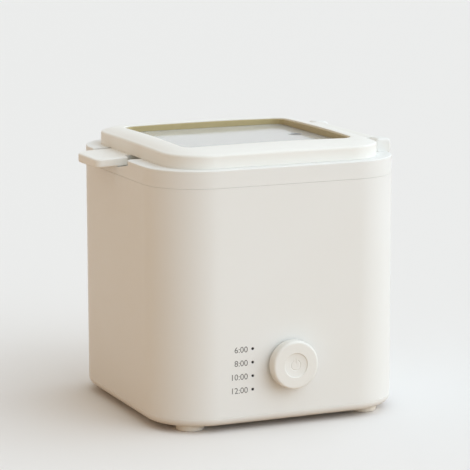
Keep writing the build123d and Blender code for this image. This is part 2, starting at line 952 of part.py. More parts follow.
# Mains wires: two insulated leads from the inlet tails to the power board
board_line_x = power_board_x + board_thickness / 2
pin_x = inlet_pin_pitch / 2
mains_routes = [
    [
        (pin_x, inlet_tail_y, tail_low_z),
        (pin_x, inlet_tail_y, wire_low_z),
        (pin_x, neutral_run_y, wire_low_z),
        (board_line_x, neutral_run_y, wire_low_z),
        (board_line_x, neutral_end_y, wire_low_z),
        (board_line_x, neutral_end_y, power_board_low_z),
    ],
    [
        (-pin_x, inlet_tail_y, tail_low_z),
        (-pin_x, inlet_tail_y, wire_low_z),
        (-pin_x, live_run_y, wire_low_z),
        (board_line_x, live_run_y, wire_low_z),
        (board_line_x, live_run_y, live_end_z),
        (board_line_x, power_board_half_y, live_end_z),
    ],
]
with BuildPart() as mains_wires:
    for route in mains_routes:
        add(tube_along(route, wire_radius, wire_bend))
mains_wires.part.label = "mains_wires"
export_step(mains_wires.part, "parts/mains_wires.step")

# Heater wires: two leads from the power board to the cold ends of the element
left_end, right_end = sorted(element_ends, key=lambda end: end.X)
tail_radius = element_tube_radius / 2
heater_routes = [
    [
        (left_end.X - tail_radius, left_end.Y, heater_wire_z),
        (board_line_x, left_end.Y, heater_wire_z),
        (board_line_x, left_end.Y, power_board_low_z),
    ],
    [
        (right_end.X, right_end.Y - tail_radius, heater_wire_z),
        (right_end.X, heater_return_y, heater_wire_z),
        (board_line_x, heater_return_y, heater_wire_z),
        (board_line_x, heater_return_y, power_board_low_z),
    ],
]
with BuildPart() as heater_wires:
    for route in heater_routes:
        add(tube_along(route, wire_radius, wire_bend))
heater_wires.part.label = "heater_wires"
export_step(heater_wires.part, "parts/heater_wires.step")

# Sensor cable: thin lead from the sensor forward to the control board
board_line_y = board_front_y + board_thickness / 2
sensor_route = [
    (sensor_x, 0, sensor_low_z),
    (sensor_x, 0, wire_low_z),
    (sensor_x, board_line_y, wire_low_z),
    (sensor_x, board_line_y, board_low_z),
]
with BuildPart() as sensor_cable:
    add(tube_along(sensor_route, wire_radius, cable_bend))
sensor_cable.part.label = "sensor_cable"
export_step(sensor_cable.part, "parts/sensor_cable.step")

# Link cable: low-voltage lead round the front left corner between the two boards
link_route = [
    (board_line_x, -power_board_half_y, link_z),
    (board_line_x, board_line_y, link_z),
    (board_left_x, board_line_y, link_z),
]
with BuildPart() as link_cable:
    add(tube_along(link_route, wire_radius, link_bend))
link_cable.part.label = "link_cable"
export_step(link_cable.part, "parts/link_cable.step")

# Egg rack: plate with four egg holes, steam holes, legs and two upright grips
four_eggs = [(x, y) for x in (-egg_offset, egg_offset) for y in (-egg_offset, egg_offset)]
four_legs = [(rack_leg_offset, 0), (-rack_leg_offset, 0), (0, rack_leg_offset), (0, -rack_leg_offset)]
with BuildPart() as egg_rack:
    extrude(rounded(rack_half, rack_half, rack_corner, rack_low_z), amount=rack_thickness)
    extrude(
        discs(egg_hole_radius, four_eggs, rack_low_z),
        amount=rack_thickness,
        mode=Mode.SUBTRACT,
    )
    extrude(disc(steam_hole_radius, 0, 0, rack_low_z), amount=rack_thickness, mode=Mode.SUBTRACT)
    extrude(discs(rack_leg_radius, four_legs, chamber_floor_z), amount=rack_low_z - chamber_floor_z)
    for side in (-1, 1):
        low_x = side * grip_x - grip_thickness / 2
        with BuildPart(mode=Mode.PRIVATE) as grip:
            add(
                upright_block(
                    low_x,
                    low_x + grip_thickness,
                    -grip_half_width,
                    grip_half_width,
                    rack_low_z + rack_thickness / 2,
                    rack_low_z + rack_thickness + grip_height,
                )
            )
            fillet(grip.faces().sort_by(Axis.Z)[-1].edges().filter_by(Axis.X), grip_half_width / 2)
        add(grip.part)
egg_rack.part.label = "egg_rack"
export_step(egg_rack.part, "parts/egg_rack.step")

# Lid frame: crowned ring with a rebated window and the hinge barrel on its right side
pane_half_x = window_half_x + pane_overlap
pane_half_y = window_half_y + pane_overlap
pocket_half_x = pane_half_x + pane_pocket_gap
pocket_half_y = pane_half_y + pane_pocket_gap
pocket_corner = pane_corner + pane_pocket_gap
with BuildPart() as lid_frame:
    extrude(rounded(ring_half_x, ring_half_y, ring_corner, ring_low_z), amount=ring_wall_z - ring_low_z)
    loft(
        [
            rounded(ring_half_x, ring_half_y, ring_corner, ring_wall_z).face(),
            rounded(
                ring_half_x - ring_shoulder_inset,
                ring_half_y - ring_shoulder_inset,
                ring_corner - ring_shoulder_inset,
                ring_shoulder_z,
            ).face(),
        ]
    )
    loft(
        [
            rounded(
                ring_half_x - ring_shoulder_inset,
                ring_half_y - ring_shoulder_inset,
                ring_corner - ring_shoulder_inset,
                ring_shoulder_z,
            ).face(),
            rounded(
                window_half_x + crown_inset,
                window_half_y + crown_inset,
                window_corner + crown_inset,
                crown_z,
            ).face(),
        ]
    )
    with BuildPart(mode=Mode.PRIVATE) as barrel:
        with BuildSketch(Plane.XZ):
            with Locations((hinge_x, hinge_z)):
                Circle(barrel_radius)
            with BuildLine():
                Polyline(
                    (ring_half_x - wall, hinge_z - barrel_radius),
                    (hinge_x, hinge_z - barrel_radius),
                    (hinge_x, hinge_z + barrel_radius),
                    (ring_half_x - wall, hinge_z + barrel_radius - barrel_web_drop),
                    close=True,
                )
            make_face()
        extrude(amount=barrel_half_length, both=True)
    add(barrel.part)
    extrude(
        rounded(window_half_x, window_half_y, window_corner, ring_low_z),
        amount=crown_z - ring_low_z,
        mode=Mode.SUBTRACT,
    )
    extrude(
        rounded(pocket_half_x, pocket_half_y, pocket_corner, ring_low_z),
        amount=pane_top_z + gasket_foot - ring_low_z,
        mode=Mode.SUBTRACT,
    )
    with BuildSketch(Plane.XZ):
        with Locations((hinge_x, hinge_z)):
            Circle(pin_radius + running_gap)
    extrude(amount=barrel_half_length, both=True, mode=Mode.SUBTRACT)
    lid_screws_at = [(x, y) for x in (-lid_screw_x, lid_screw_x) for y in (-lid_screw_y, lid_screw_y)]
    extrude(
        discs(lid_screw_radius + fit_gap, lid_screws_at, ring_low_z),
        amount=lid_screw_tip_z + fit_gap - ring_low_z,
        mode=Mode.SUBTRACT,
    )
    tab_middle_y = (tab_front_y + tab_back_y) / 2
    tab_screws_at = [(tab_screw_x, tab_middle_y + side * tab_screw_span / 2) for side in (-1, 1)]
    extrude(
        discs(lid_screw_radius + fit_gap, tab_screws_at, ring_low_z),
        amount=tab_screw_tip_z + fit_gap - ring_low_z,
        mode=Mode.SUBTRACT,
    )
lid_frame.part.label = "lid_frame"
export_step(lid_frame.part, "parts/lid_frame.step")

# Lid window: clear pane with one steam vent hole
pane_low_z = pane_top_z - pane_thickness
with BuildPart() as lid_window:
    extrude(rounded(pane_half_x, pane_half_y, pane_corner, pane_low_z), amount=pane_thickness)
    extrude(disc(vent_radius, vent_x, vent_y, pane_low_z), amount=pane_thickness, mode=Mode.SUBTRACT)
lid_window.part.label = "lid_window"
export_step(lid_window.part, "parts/lid_window.step")

# Window gasket: silicone strip with a leaf up the window wall and a foot on the pane
with BuildPart() as window_gasket:
    extrude(rounded(pane_half_x, pane_half_y, pane_corner, pane_top_z), amount=gasket_foot)
    extrude(
        rounded(window_half_x, window_half_y, window_corner, pane_top_z + gasket_foot),
        amount=gasket_top_z - pane_top_z - gasket_foot,
    )
    extrude(
        rounded(
            window_half_x - gasket_leaf,
            window_half_y - gasket_leaf,
            window_corner - gasket_leaf,
            pane_top_z,
        ),
        amount=gasket_top_z - pane_top_z,
        mode=Mode.SUBTRACT,
    )
window_gasket.part.label = "window_gasket"
export_step(window_gasket.part, "parts/window_gasket.step")

# Lid retainer: plate under the frame whose rim presses the pane up
retainer_low_z = ring_low_z - retainer_thickness
with BuildPart() as lid_retainer:
    extrude(
        rounded(retainer_half, retainer_half, retainer_corner, retainer_low_z),
        amount=retainer_thickness,
    )
    extrude(rounded(pane_half_x, pane_half_y, pane_corner, ring_low_z), amount=pane_low_z - ring_low_z)
    extrude(
        rounded(
            window_half_x - gasket_leaf,
            window_half_y - gasket_leaf,
            window_corner - gasket_leaf,
            retainer_low_z,
        ),
        amount=pane_low_z - retainer_low_z,
        mode=Mode.SUBTRACT,
    )
    extrude(
        discs(lid_screw_radius + fit_gap, lid_screws_at, retainer_low_z),
        amount=retainer_thickness,
        mode=Mode.SUBTRACT,
    )
    extrude(
        discs(lid_screw_head_radius + fit_gap, lid_screws_at, retainer_low_z),
        amount=lid_screw_head_height,
        mode=Mode.SUBTRACT,
    )
lid_retainer.part.label = "lid_retainer"
export_step(lid_retainer.part, "parts/lid_retainer.step")

# Lid screws: one group, sunk in the retainer
with BuildPart() as lid_screws:
    extrude(discs(lid_screw_head_radius, lid_screws_at, retainer_low_z), amount=lid_screw_head_height)
    head_top_z = retainer_low_z + lid_screw_head_height
    extrude(discs(lid_screw_radius, lid_screws_at, head_top_z), amount=lid_screw_tip_z - head_top_z)
lid_screws.part.label = "lid_screws"
export_step(lid_screws.part, "parts/lid_screws.step")

# Lid seal: silicone ring that closes on the chamber flange
with BuildPart() as lid_seal:
    extrude(rounded(seal_half, seal_half, seal_corner, seal_low_z), amount=retainer_low_z - seal_low_z)
    extrude(
        rounded(seal_half - seal_width, seal_half - seal_width, seal_corner - seal_width, seal_low_z),
        amount=retainer_low_z - seal_low_z,
        mode=Mode.SUBTRACT,
    )
lid_seal.part.label = "lid_seal"
export_step(lid_seal.part, "parts/lid_seal.step")

# Lifting tab: sloped grip on a narrower root that leaves the lid through the collar's notch
tab_root_x = -ring_half_x
tab_low_z = ring_low_z - tab_thickness
with BuildPart() as lifting_tab:
    with BuildSketch(Plane.XZ.offset(-tab_back_y)):
        with BuildLine():
            Polyline(
                (tab_inner_x, ring_low_z),
                (tab_root_x, ring_low_z),
                (tab_outer_x, ring_low_z - tab_drop),
                (tab_outer_x, tab_low_z - tab_drop),
                (tab_root_x, tab_low_z),
                (tab_inner_x, tab_low_z),
                close=True,
            )
        make_face()
    extrude(amount=tab_back_y - tab_front_y)
    front_upright = lifting_tab.edges().filter_by(Axis.Z).group_by(Axis.X)[0].sort_by(Axis.Y)[0]
    fillet(front_upright, tab_front_corner)
    back_upright = lifting_tab.edges().filter_by(Axis.Z).group_by(Axis.X)[0].sort_by(Axis.Y)[-1]
    fillet(back_upright, tab_back_corner)
    end_edges = lifting_tab.edges().filter_by(lambda edge: edge.center().X < tab_root_x)
    fillet(end_edges.filter_by(Axis.Z, reverse=True), tab_edge)
    add(
        upright_block(
            tab_shoulder_x,
            tab_inner_x,
            tab_front_y,
            tab_root_front_y,
            tab_low_z - tab_drop,
            ring_low_z,
        ),
        mode=Mode.SUBTRACT,
    )
    extrude(
        discs(lid_screw_radius + fit_gap, tab_screws_at, tab_low_z),
        amount=tab_thickness,
        mode=Mode.SUBTRACT,
    )
    extrude(
        discs(lid_screw_head_radius + fit_gap, tab_screws_at, tab_low_z),
        amount=lid_screw_head_height,
        mode=Mode.SUBTRACT,
    )
lifting_tab.part.label = "lifting_tab"
export_step(lifting_tab.part, "parts/lifting_tab.step")

# Tab screws: one group, up into the frame
with BuildPart() as tab_screws:
    extrude(discs(lid_screw_head_radius, tab_screws_at, tab_low_z), amount=lid_screw_head_height)
    tab_head_top_z = tab_low_z + lid_screw_head_height
    extrude(discs(lid_screw_radius, tab_screws_at, tab_head_top_z), amount=tab_screw_tip_z - tab_head_top_z)
tab_screws.part.label = "tab_screws"
export_step(tab_screws.part, "parts/tab_screws.step")
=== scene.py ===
"""Looks of an electric egg cooker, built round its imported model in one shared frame.

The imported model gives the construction, the bodies and the joints. This script gives every
surface its finish and replaces the plain solids that show with smooth, edge-rounded forms.
Sizes in the classes are millimetres, in the frame of the model: the origin is on the upright
centre line of the square body in the plane of the soles, +Z is up and -Y is the front.
"""

import json
import logging
import math
from dataclasses import dataclass
from enum import Enum

import bmesh
import bpy
import numpy as np
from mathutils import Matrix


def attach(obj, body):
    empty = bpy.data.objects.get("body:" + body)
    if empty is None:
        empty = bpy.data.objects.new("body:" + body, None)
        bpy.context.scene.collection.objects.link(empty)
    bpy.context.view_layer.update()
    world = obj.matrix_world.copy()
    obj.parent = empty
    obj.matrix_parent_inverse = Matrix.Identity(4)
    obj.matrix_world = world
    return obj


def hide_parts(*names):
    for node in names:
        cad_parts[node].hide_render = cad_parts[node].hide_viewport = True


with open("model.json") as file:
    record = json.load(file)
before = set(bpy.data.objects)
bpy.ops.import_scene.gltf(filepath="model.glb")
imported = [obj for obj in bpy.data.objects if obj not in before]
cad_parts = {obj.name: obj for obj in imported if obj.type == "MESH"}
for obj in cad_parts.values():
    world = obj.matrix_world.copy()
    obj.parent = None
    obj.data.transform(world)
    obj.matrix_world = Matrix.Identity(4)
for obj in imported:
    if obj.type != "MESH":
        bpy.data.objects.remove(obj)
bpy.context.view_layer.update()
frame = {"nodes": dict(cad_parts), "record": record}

log = logging.getLogger("egg_cooker")

MILLIMETRE = 0.001

# Points that are closer than this, in millimetres, become one
WELD_DISTANCE = 0.001

# Edges that turn by more than this stay sharp in the shading
SHARP_ANGLE = math.radians(32.0)

# How strongly wide faces hold the shading of their corners, out of 100
FACE_WEIGHT = 80

# Rounds of edges that only catch a line of light, in millimetres
FINE_ROUND = 0.2
SLIGHT_ROUND = 0.3

# Radius of the small flat in the middle of a round end, in millimetres
END_FLAT = 0.05

# Places that more than one sub-assembly uses, in millimetres
HINGE = (61.5, 131.3)
PIN_RADIUS = 1.55
KNOB_Z = 31.6
LAMP_LOW_Z = 20.29
LAMP_PITCH = 6.67


class Body(Enum):
    """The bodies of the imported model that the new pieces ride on."""

    HOUSING = "housing"
    LID = "lid"
    EGG_TRAY = "egg_tray"
    DIAL = "dial"


class Carve(Enum):
    """How a helper solid changes the piece that it meets."""

    CUT = "DIFFERENCE"
    JOIN = "UNION"


class Facing(Enum):
    """The way that the stack height of a flat outline runs."""

    UP = "+Z"
    FRONT = "-Y"
    BACK = "+Y"
    LEFT = "-X"
    RIGHT = "+X"


# Outlines and profiles


@dataclass(frozen=True)
class Outline:
    """A rectangle with round corners about a centre, in millimetres.

    Attributes:
        half_x: Half of the width.
        half_y: Half of the depth.
        corner: Radius of the corners. A corner as large as both halves makes a circle.
        shift_y: How far its centre lies behind the stack's own centre.
    """

    half_x: float
    half_y: float
    corner: float
    shift_y: float = 0.0

    def grown(self, amount: float) -> "Outline":
        """Gives the outline moved outwards by an amount, or inwards if it is negative."""
        return Outline(self.half_x + amount, self.half_y + amount, self.corner + amount, self.shift_y)


def circle(radius: float) -> Outline:
    """Gives a round outline."""
    return Outline(radius, radius, radius)


@dataclass(frozen=True)
class Mesher:
    """How finely an outline is divided.

    Attributes:
        corner_steps: Steps along each corner's quarter circle.
        side_steps: Steps along each straight side.
    """

    corner_steps: int
    side_steps: int

    def weights(self) -> tuple[np.ndarray, np.ndarray, np.ndarray, np.ndarray]:
        """Works out the direction and corner share of every point round an outline.

        A point is share * (half - corner) + corner * direction, on each axis. Along a corner
        the share stays at plus or minus one and the direction turns through a quarter circle.
        Along a side the direction stays and one share runs from one corner to the next.

        Returns:
            The shares along x and y, and the cosines and sines of the directions.
        """
        turn = np.linspace(0.0, 0.5 * math.pi, self.corner_steps, endpoint=False)
        run = np.linspace(1.0, -1.0, self.side_steps, endpoint=False)
        signs = np.array([[1, 1], [-1, 1], [-1, -1], [1, -1]], float)
        shares, angles = [], []
        for quarter, (sign, following) in enumerate(zip(signs, np.roll(signs, -1, axis=0))):
            start = quarter * 0.5 * math.pi
            shares.append(np.repeat(sign[None, :], self.corner_steps, axis=0))
            angles.append(start + turn)
            blend = (1.0 - run[:, None]) / 2.0
            shares.append(sign * (1.0 - blend) + following * blend)
            angles.append(np.full(self.side_steps, start + 0.5 * math.pi))
        share, angle = np.concatenate(shares), np.concatenate(angles)
        return share[:, 0], share[:, 1], np.cos(angle), np.sin(angle)


FINE = Mesher(24, 12)
SMALL = Mesher(8, 2)
ROUND = Mesher(16, 1)


@dataclass(frozen=True)
class Section:
    """A run of outlines that a profile's sideways coordinate is measured across.

    Attributes:
        keys: Pairs of a sideways distance and the outline there. Between them every measure
            of the outline changes evenly.
    """

    keys: tuple[tuple[float, Outline], ...]

    def rings(self, profile: np.ndarray, mesher: Mesher) -> np.ndarray:
        """Carries a profile round the outlines.

        Args:
            profile: Points of a sideways distance and a height, one row each.
            mesher: How finely the outlines are divided.

        Returns:
            Points as an array of profile point, outline point and x, y, height.
        """
        places = [place for place, _ in self.keys]
        sizes = np.array([[key.half_x, key.half_y, key.corner, key.shift_y] for _, key in self.keys])
        half_x, half_y, corner, shift = (np.interp(profile[:, 0], places, size) for size in sizes.T)
        share_x, share_y, cosine, sine = mesher.weights()
        x = np.outer(half_x - corner, share_x) + np.outer(corner, cosine)
        y = np.outer(half_y - corner, share_y) + np.outer(corner, sine) + shift[:, None]
        return np.stack([x, y, np.repeat(profile[:, 1:2], x.shape[1], axis=1)], axis=2)


def offsets_of(outline: Outline, deepest: float) -> Section:
    """Gives the section whose sideways distance is the inset from one outline."""
    return Section(((0.0, outline), (deepest, outline.grown(-deepest))))


@dataclass(frozen=True)
class Bend:
    """A corner of a profile.

    Attributes:
        across: Sideways distance of the corner before it is rounded.
        height: Height of the corner before it is rounded.
        radius: Radius of the arc that rounds it, zero for a sharp corner.
    """

    across: float
    height: float
    radius: float = 0.0


def rounded_profile(bends: list[Bend], closed: bool, steps: int = 6, hold: float = 0.35) -> np.ndarray:
    """Rounds the corners of a profile with arcs.

    Each corner is replaced by an arc that touches both of its runs: its ends lie at
    radius / tan(half the angle between the runs) from the corner, and the points between are
    the centre plus the radius times directions spread evenly by angle. A point at the hold
    distance beyond each arc keeps the shading of the long runs flat.

    Args:
        bends: The corners in order.
        closed: Whether the last corner runs back to the first.
        steps: Steps along each arc.
        hold: Distance from an arc to its holding point, in millimetres.

    Returns:
        The points of the profile, one row each.
    """
    points = np.array([[b.across, b.height] for b in bends])
    count = len(bends)
    pieces: list[np.ndarray] = []
    for index, bend in enumerate(bends):
        at_end = not closed and index in (0, count - 1)
        if at_end or bend.radius == 0.0:
            pieces.append(points[index : index + 1])
            continue
        corner = points[index]
        before, after = points[index - 1] - corner, points[(index + 1) % count] - corner
        reach = np.array([np.linalg.norm(before), np.linalg.norm(after)])
        before, after = before / reach[0], after / reach[1]
        half_angle = 0.5 * math.acos(float(np.clip(before @ after, -1.0, 1.0)))
        tangent = bend.radius / math.tan(half_angle)
        middle = (before + after) / np.linalg.norm(before + after)
        centre = corner + middle * bend.radius / math.sin(half_angle)
        first, last = corner + before * tangent - centre, corner + after * tangent - centre
        sweep = math.pi - 2.0 * half_angle
        share = np.linspace(0.0, 1.0, steps + 1)[:, None]
        arc = (np.sin((1.0 - share) * sweep) * first + np.sin(share * sweep) * last) / math.sin(sweep)
        held = [arc + centre]
        if reach[0] > 2.0 * (tangent + hold):
            held.insert(0, (corner + before * (tangent + hold))[None, :])
        if reach[1] > 2.0 * (tangent + hold):
            held.append((corner + after * (tangent + hold))[None, :])
        pieces.extend(held)
    return np.concatenate(pieces)


def slab_profile(low: float, high: float, edge: float, reach: float) -> np.ndarray:
    """Gives the open profile of a slab whose two outer edges are rounded.

    Args:
        low: Height of the slab's lower face.
        high: Height of its upper face.
        edge: Radius of its edges.
        reach: How far in from its side the profile starts and ends.

    Returns:
        The points of the profile, one row each.
    """
    return rounded_profile(
        [Bend(reach, low), Bend(0.0, low, edge), Bend(0.0, high, edge), Bend(reach, high)],
        closed=False,
    )


# Meshes


def grid_faces(rows: int, columns: int, closed_profile: bool) -> np.ndarray:
    """Gives the four-sided faces of a grid whose columns run round and close.

    Args:
        rows: Points along the profile.
        columns: Points round the outline.
        closed_profile: Whether the last row joins the first.

    Returns:
        Point numbers, four for each face.
    """
    row = np.arange(rows if closed_profile else rows - 1)[:, None]
    column = np.arange(columns)[None, :]
    next_row, next_column = (row + 1) % rows, (column + 1) % columns
    corners = [
        row * columns + column,
        row * columns + next_column,
        next_row * columns + next_column,
        next_row * columns + column,
    ]
    return np.stack(corners, axis=2).reshape(-1, 4)


def mesh_from(name: str, points: np.ndarray, faces: list[list[int]]) -> bpy.types.Mesh:
    """Makes a welded, closed mesh with faces that point outwards.

    Args:
        name: Name of the mesh.
        points: Points in millimetres, one row each.
        faces: Point numbers of each face.

    Returns:
        The mesh, in metres.
    """
    mesh = bpy.data.meshes.new(name)
    mesh.from_pydata((points * MILLIMETRE).tolist(), [], faces)
    work = bmesh.new()
    work.from_mesh(mesh)
    bmesh.ops.remove_doubles(work, verts=work.verts, dist=WELD_DISTANCE * MILLIMETRE)
    if work.calc_volume(signed=True) < 0.0:
        bmesh.ops.reverse_faces(work, faces=work.faces)
    work.to_mesh(mesh)
    work.free()
    return mesh


def mesh_of_rings(name: str, rings: np.ndarray, closed_profile: bool) -> bpy.types.Mesh:
    """Skins a stack of rings, with flat faces over its two ends if the profile is open."""
    rows, columns = rings.shape[:2]
    faces = grid_faces(rows, columns, closed_profile).tolist()
    if not closed_profile:
        faces.append(list(range(columns))[::-1])
        faces.append(list(range((rows - 1) * columns, rows * columns)))
    return mesh_from(name, rings.reshape(-1, 3), faces)


def turned(rings: np.ndarray, facing: Facing, centre: tuple[float, float, float]) -> np.ndarray:
    """Turns stacked rings so that their stack height runs the way that is asked for.

    Facing up nothing turns. Otherwise the outline's second coordinate becomes the height, and
    its first one runs along whichever of X and Y the stack height doesn't.

    Args:
        rings: Points with x, y and stack height.
        facing: The way that the stack height runs.
        centre: The point that the rings are moved to, in millimetres.

    Returns:
        The points in the frame of the model.
    """
    across, over, height = rings[..., 0], rings[..., 1], rings[..., 2]
    turns = {
        Facing.UP: (across, over, height),
        Facing.FRONT: (across, -height, over),
        Facing.BACK: (across, height, over),
        Facing.LEFT: (-height, across, over),
        Facing.RIGHT: (height, across, over),
    }
    return np.stack(turns[facing], axis=-1) + np.array(centre)


def block(
    name: str,
    outline: Outline,
    span: tuple[float, float],
    facing: Facing,
    centre: tuple[float, float, float],
    mesher: Mesher = SMALL,
) -> bpy.types.Mesh:
    """Makes a plain straight block, to join to a piece or to cut it with.

    Args:
        name: Name of the mesh.
        outline: The block's outline.
        span: Stack heights of its two ends.
        facing: The way that its stack height runs.
        centre: The point that its stack height is measured from.
        mesher: How finely the outline is divided.

    Returns:
        The block.
    """
    profile = np.array([[0.0, span[0]], [0.0, span[1]]])
    rings = Section(((0.0, outline),)).rings(profile, mesher)
    return mesh_of_rings(name, turned(rings, facing, centre), closed_profile=False)


def rod(
    name: str,
    radius: float,
    span: tuple[float, float],
    facing: Facing,
    centre: tuple[float, float, float],
) -> bpy.types.Mesh:
    """Makes a plain round rod: a block with a round outline."""
    return block(name, circle(radius), span, facing, centre, ROUND)


def flared_rod(
    name: str,
    radius: float,
    span: tuple[float, float],
    flare: float,
    reach: float,
    place: tuple[float, float],
) -> bpy.types.Mesh:
    """Makes the upright rod that cuts a round hole with rounded rims through a plate.

    Its profile comes in flat along each face of the plate and turns into the hole by a
    quarter circle.

    Args:
        name: Name of the mesh.
        radius: Radius of the hole.
        span: Heights of the plate's two faces.
        flare: Radius of the rims.
        reach: How far beyond the hole the profile starts.
        place: The hole's x and y.

    Returns:
        The rod.
    """
    (low, high), past = span, 1.0
    profile = rounded_profile(
        [
            Bend(-reach, low - past),
            Bend(-reach, low),
            Bend(0.0, low, flare),
            Bend(0.0, high, flare),
            Bend(-reach, high),
            Bend(-reach, high + past),
        ],
        closed=False,
    )
    hole = circle(radius)
    rings = Section(((-reach, hole.grown(reach)), (0.0, hole))).rings(profile, ROUND)
    return mesh_of_rings(name, turned(rings, Facing.UP, (*place, 0.0)), closed_profile=False)


def as_object(mesh: bpy.types.Mesh) -> bpy.types.Object:
    """Puts a mesh into the scene as an object of the same name."""
    piece = bpy.data.objects.new(mesh.name, mesh)
    bpy.context.scene.collection.objects.link(piece)
    return piece


def carve(piece: bpy.types.Object, helper: bpy.types.Mesh, how: Carve) -> None:
    """Cuts a helper solid out of a piece or joins it on, and removes the helper.

    Args:
        piece: The piece to change.
        helper: The solid to cut with or to join.
        how: Whether to cut or to join.
    """
    tool = as_object(helper)
    modifier = piece.modifiers.new("carve", "BOOLEAN")
    modifier.operation = how.value
    modifier.solver = "EXACT"
    modifier.object = tool
    apply_modifiers(piece)
    bpy.data.objects.remove(tool)
    bpy.data.meshes.remove(helper)


def apply_modifiers(piece: bpy.types.Object) -> None:
    """Replaces a piece's mesh with the result of its modifiers."""
    bpy.context.view_layer.update()
    evaluated = piece.evaluated_get(bpy.context.evaluated_depsgraph_get())
    result = bpy.data.meshes.new_from_object(evaluated)
    previous = piece.data
    piece.modifiers.clear()
    piece.data = result
    name = previous.name
    bpy.data.meshes.remove(previous)
    result.name = name


def smooth(piece: bpy.types.Object) -> None:
    """Shades a piece smooth, with true edges kept sharp and wide faces kept flat."""
    mesh = piece.data
    mesh.polygons.foreach_set("use_smooth", np.ones(len(mesh.polygons), bool))
    mesh.set_sharp_from_angle(angle=SHARP_ANGLE)
    modifier = piece.modifiers.new("flat faces", "WEIGHTED_NORMAL")
    modifier.keep_sharp = True
    modifier.weight = FACE_WEIGHT
    apply_modifiers(piece)


# Nodes and finishes

Tree = bpy.types.NodeTree
Socket = bpy.types.NodeSocket

# Nearly all values of a noise lie between these
NOISE_LOW, NOISE_HIGH = 0.3, 0.7

# Numbers of the colour sockets of a Mix node: its three inputs and its output
MIX_SHARE, MIX_FIRST, MIX_SECOND, MIX_RESULT = 0, 6, 7, 2


def linear(hex_colour: str) -> tuple[float, float, float, float]:
    """Turns an sRGB hex colour into linear red, green, blue and an alpha of one."""
    parts = np.array([int(hex_colour[i : i + 2], 16) / 255.0 for i in (1, 3, 5)])
    low, high = parts / 12.92, ((parts + 0.055) / 1.055) ** 2.4
    red, green, blue = np.where(parts <= 0.04045, low, high)
    return float(red), float(green), float(blue), 1.0


def add_node(tree: Tree, kind: str, inputs: dict | None = None, **options: object) -> bpy.types.Node:
    """Adds one node to a tree.

    Args:
        tree: The tree that gets the node.
        kind: The node's type name.
        inputs: Values or output sockets for its inputs, by the input's name or number.
        **options: Values for the node's own settings.

    Returns:
        The new node.
    """
    node = tree.nodes.new(kind)
    for name, value in options.items():
        setattr(node, name, value)
    for key, value in (inputs or {}).items():
        if isinstance(value, Socket):
            tree.links.new(value, node.inputs[key])
        else:
            node.inputs[key].default_value = value
    return node


def per_metre(size_mm: float) -> float:
    """Gives the texture scale at which a feature is a size in millimetres."""
    return 1.0 / (size_mm * MILLIMETRE)


@dataclass(frozen=True)
class Finish:
    """The surface of one real material.

    Attributes:
        name: The material's common name and how its surface was made.
        colour: Base colour as sRGB hex.
        roughness: How far reflections spread.
        ior: Index of refraction, which sets the strength of the reflection.
    """

    name: str
    colour: str
    roughness: float
    ior: float = 1.5

    def material(self) -> bpy.types.Material:
        """Gives the Blender material, made on first use."""
        found = bpy.data.materials.get(self.name)
        if found is not None:
            return found
        material = bpy.data.materials.new(self.name)
        material.use_nodes = True
        tree = material.node_tree
        tree.nodes.clear()
        place = add_node(tree, "ShaderNodeTexCoord").outputs["Object"]
        plain = {
            "Base Color": linear(self.colour),
            "Roughness": self.roughness,
            "IOR": self.ior,
        }
        inputs = plain | self.pattern(tree, place)
        skin = add_node(tree, "ShaderNodeBsdfPrincipled", inputs).outputs["BSDF"]
        add_node(tree, "ShaderNodeOutputMaterial", {"Surface": self.behind(tree, skin)})
        return material

    def pattern(self, tree: Tree, place: Socket) -> dict:
        """Builds what varies over the surface.

        Args:
            tree: The material's tree.
            place: The point on the piece in its own coordinates, in metres.

        Returns:
            Values and sockets for the main shader's inputs, by the input's name.
        """
        raise NotImplementedError

    def behind(self, tree: Tree, skin: Socket) -> Socket:
        """Gives the whole shader, which is the skin alone where nothing shows through it."""
        return skin

    def patches(
        self, tree: Tree, place: Socket, size_mm: float, limits: tuple[float, float], detail: float = 2.0
    ) -> Socket:
        """Gives a value that wanders between two limits over soft patches.

        It is a noise whose middle range is spread from the low limit to the high one.

        Args:
            tree: The material's tree.
            place: The point on the piece.
            size_mm: Size of the patches in millimetres.
            limits: The low and the high limit.
            detail: How many finer layers the patches have.

        Returns:
            The value's socket.
        """
        noise = {"Vector": place, "Scale": per_metre(size_mm), "Detail": detail}
        inputs = {
            "Value": add_node(tree, "ShaderNodeTexNoise", noise).outputs[0],
            "From Min": NOISE_LOW,
            "From Max": NOISE_HIGH,
            "To Min": limits[0],
            "To Max": limits[1],
        }
        return add_node(tree, "ShaderNodeMapRange", inputs).outputs["Result"]

    def uneven(
        self, tree: Tree, place: Socket, size_mm: float, play: tuple[float, float], detail: float = 2.0
    ) -> Socket:
        """Gives the roughness, less and more by the two parts of its play over soft patches."""
        limits = (self.roughness + play[0], self.roughness + play[1])
        return self.patches(tree, place, size_mm, limits, detail)

    def mottled(
        self, tree: Tree, place: Socket, size_mm: float, other: str, share: float, detail: float = 2.0
    ) -> Socket:
        """Gives the base colour, mixed over soft patches with up to a share of another colour."""
        inputs = {
            MIX_SHARE: self.patches(tree, place, size_mm, (0.0, share), detail),
            MIX_FIRST: linear(self.colour),
            MIX_SECOND: linear(other),
        }
        return add_node(tree, "ShaderNodeMix", inputs, data_type="RGBA").outputs[MIX_RESULT]

    def grained(
        self, tree: Tree, place: Socket, size_mm: float, depth_mm: float, detail: float = 2.0
    ) -> Socket:
        """Gives the normal of a relief of soft grains with a real size and depth."""
        noise = {"Vector": place, "Scale": per_metre(size_mm), "Detail": detail}
        height = add_node(tree, "ShaderNodeTexNoise", noise).outputs[0]
        relief = {"Height": height, "Distance": depth_mm * MILLIMETRE, "Strength": 1.0}
        return add_node(tree, "ShaderNodeBump", relief).outputs["Normal"]


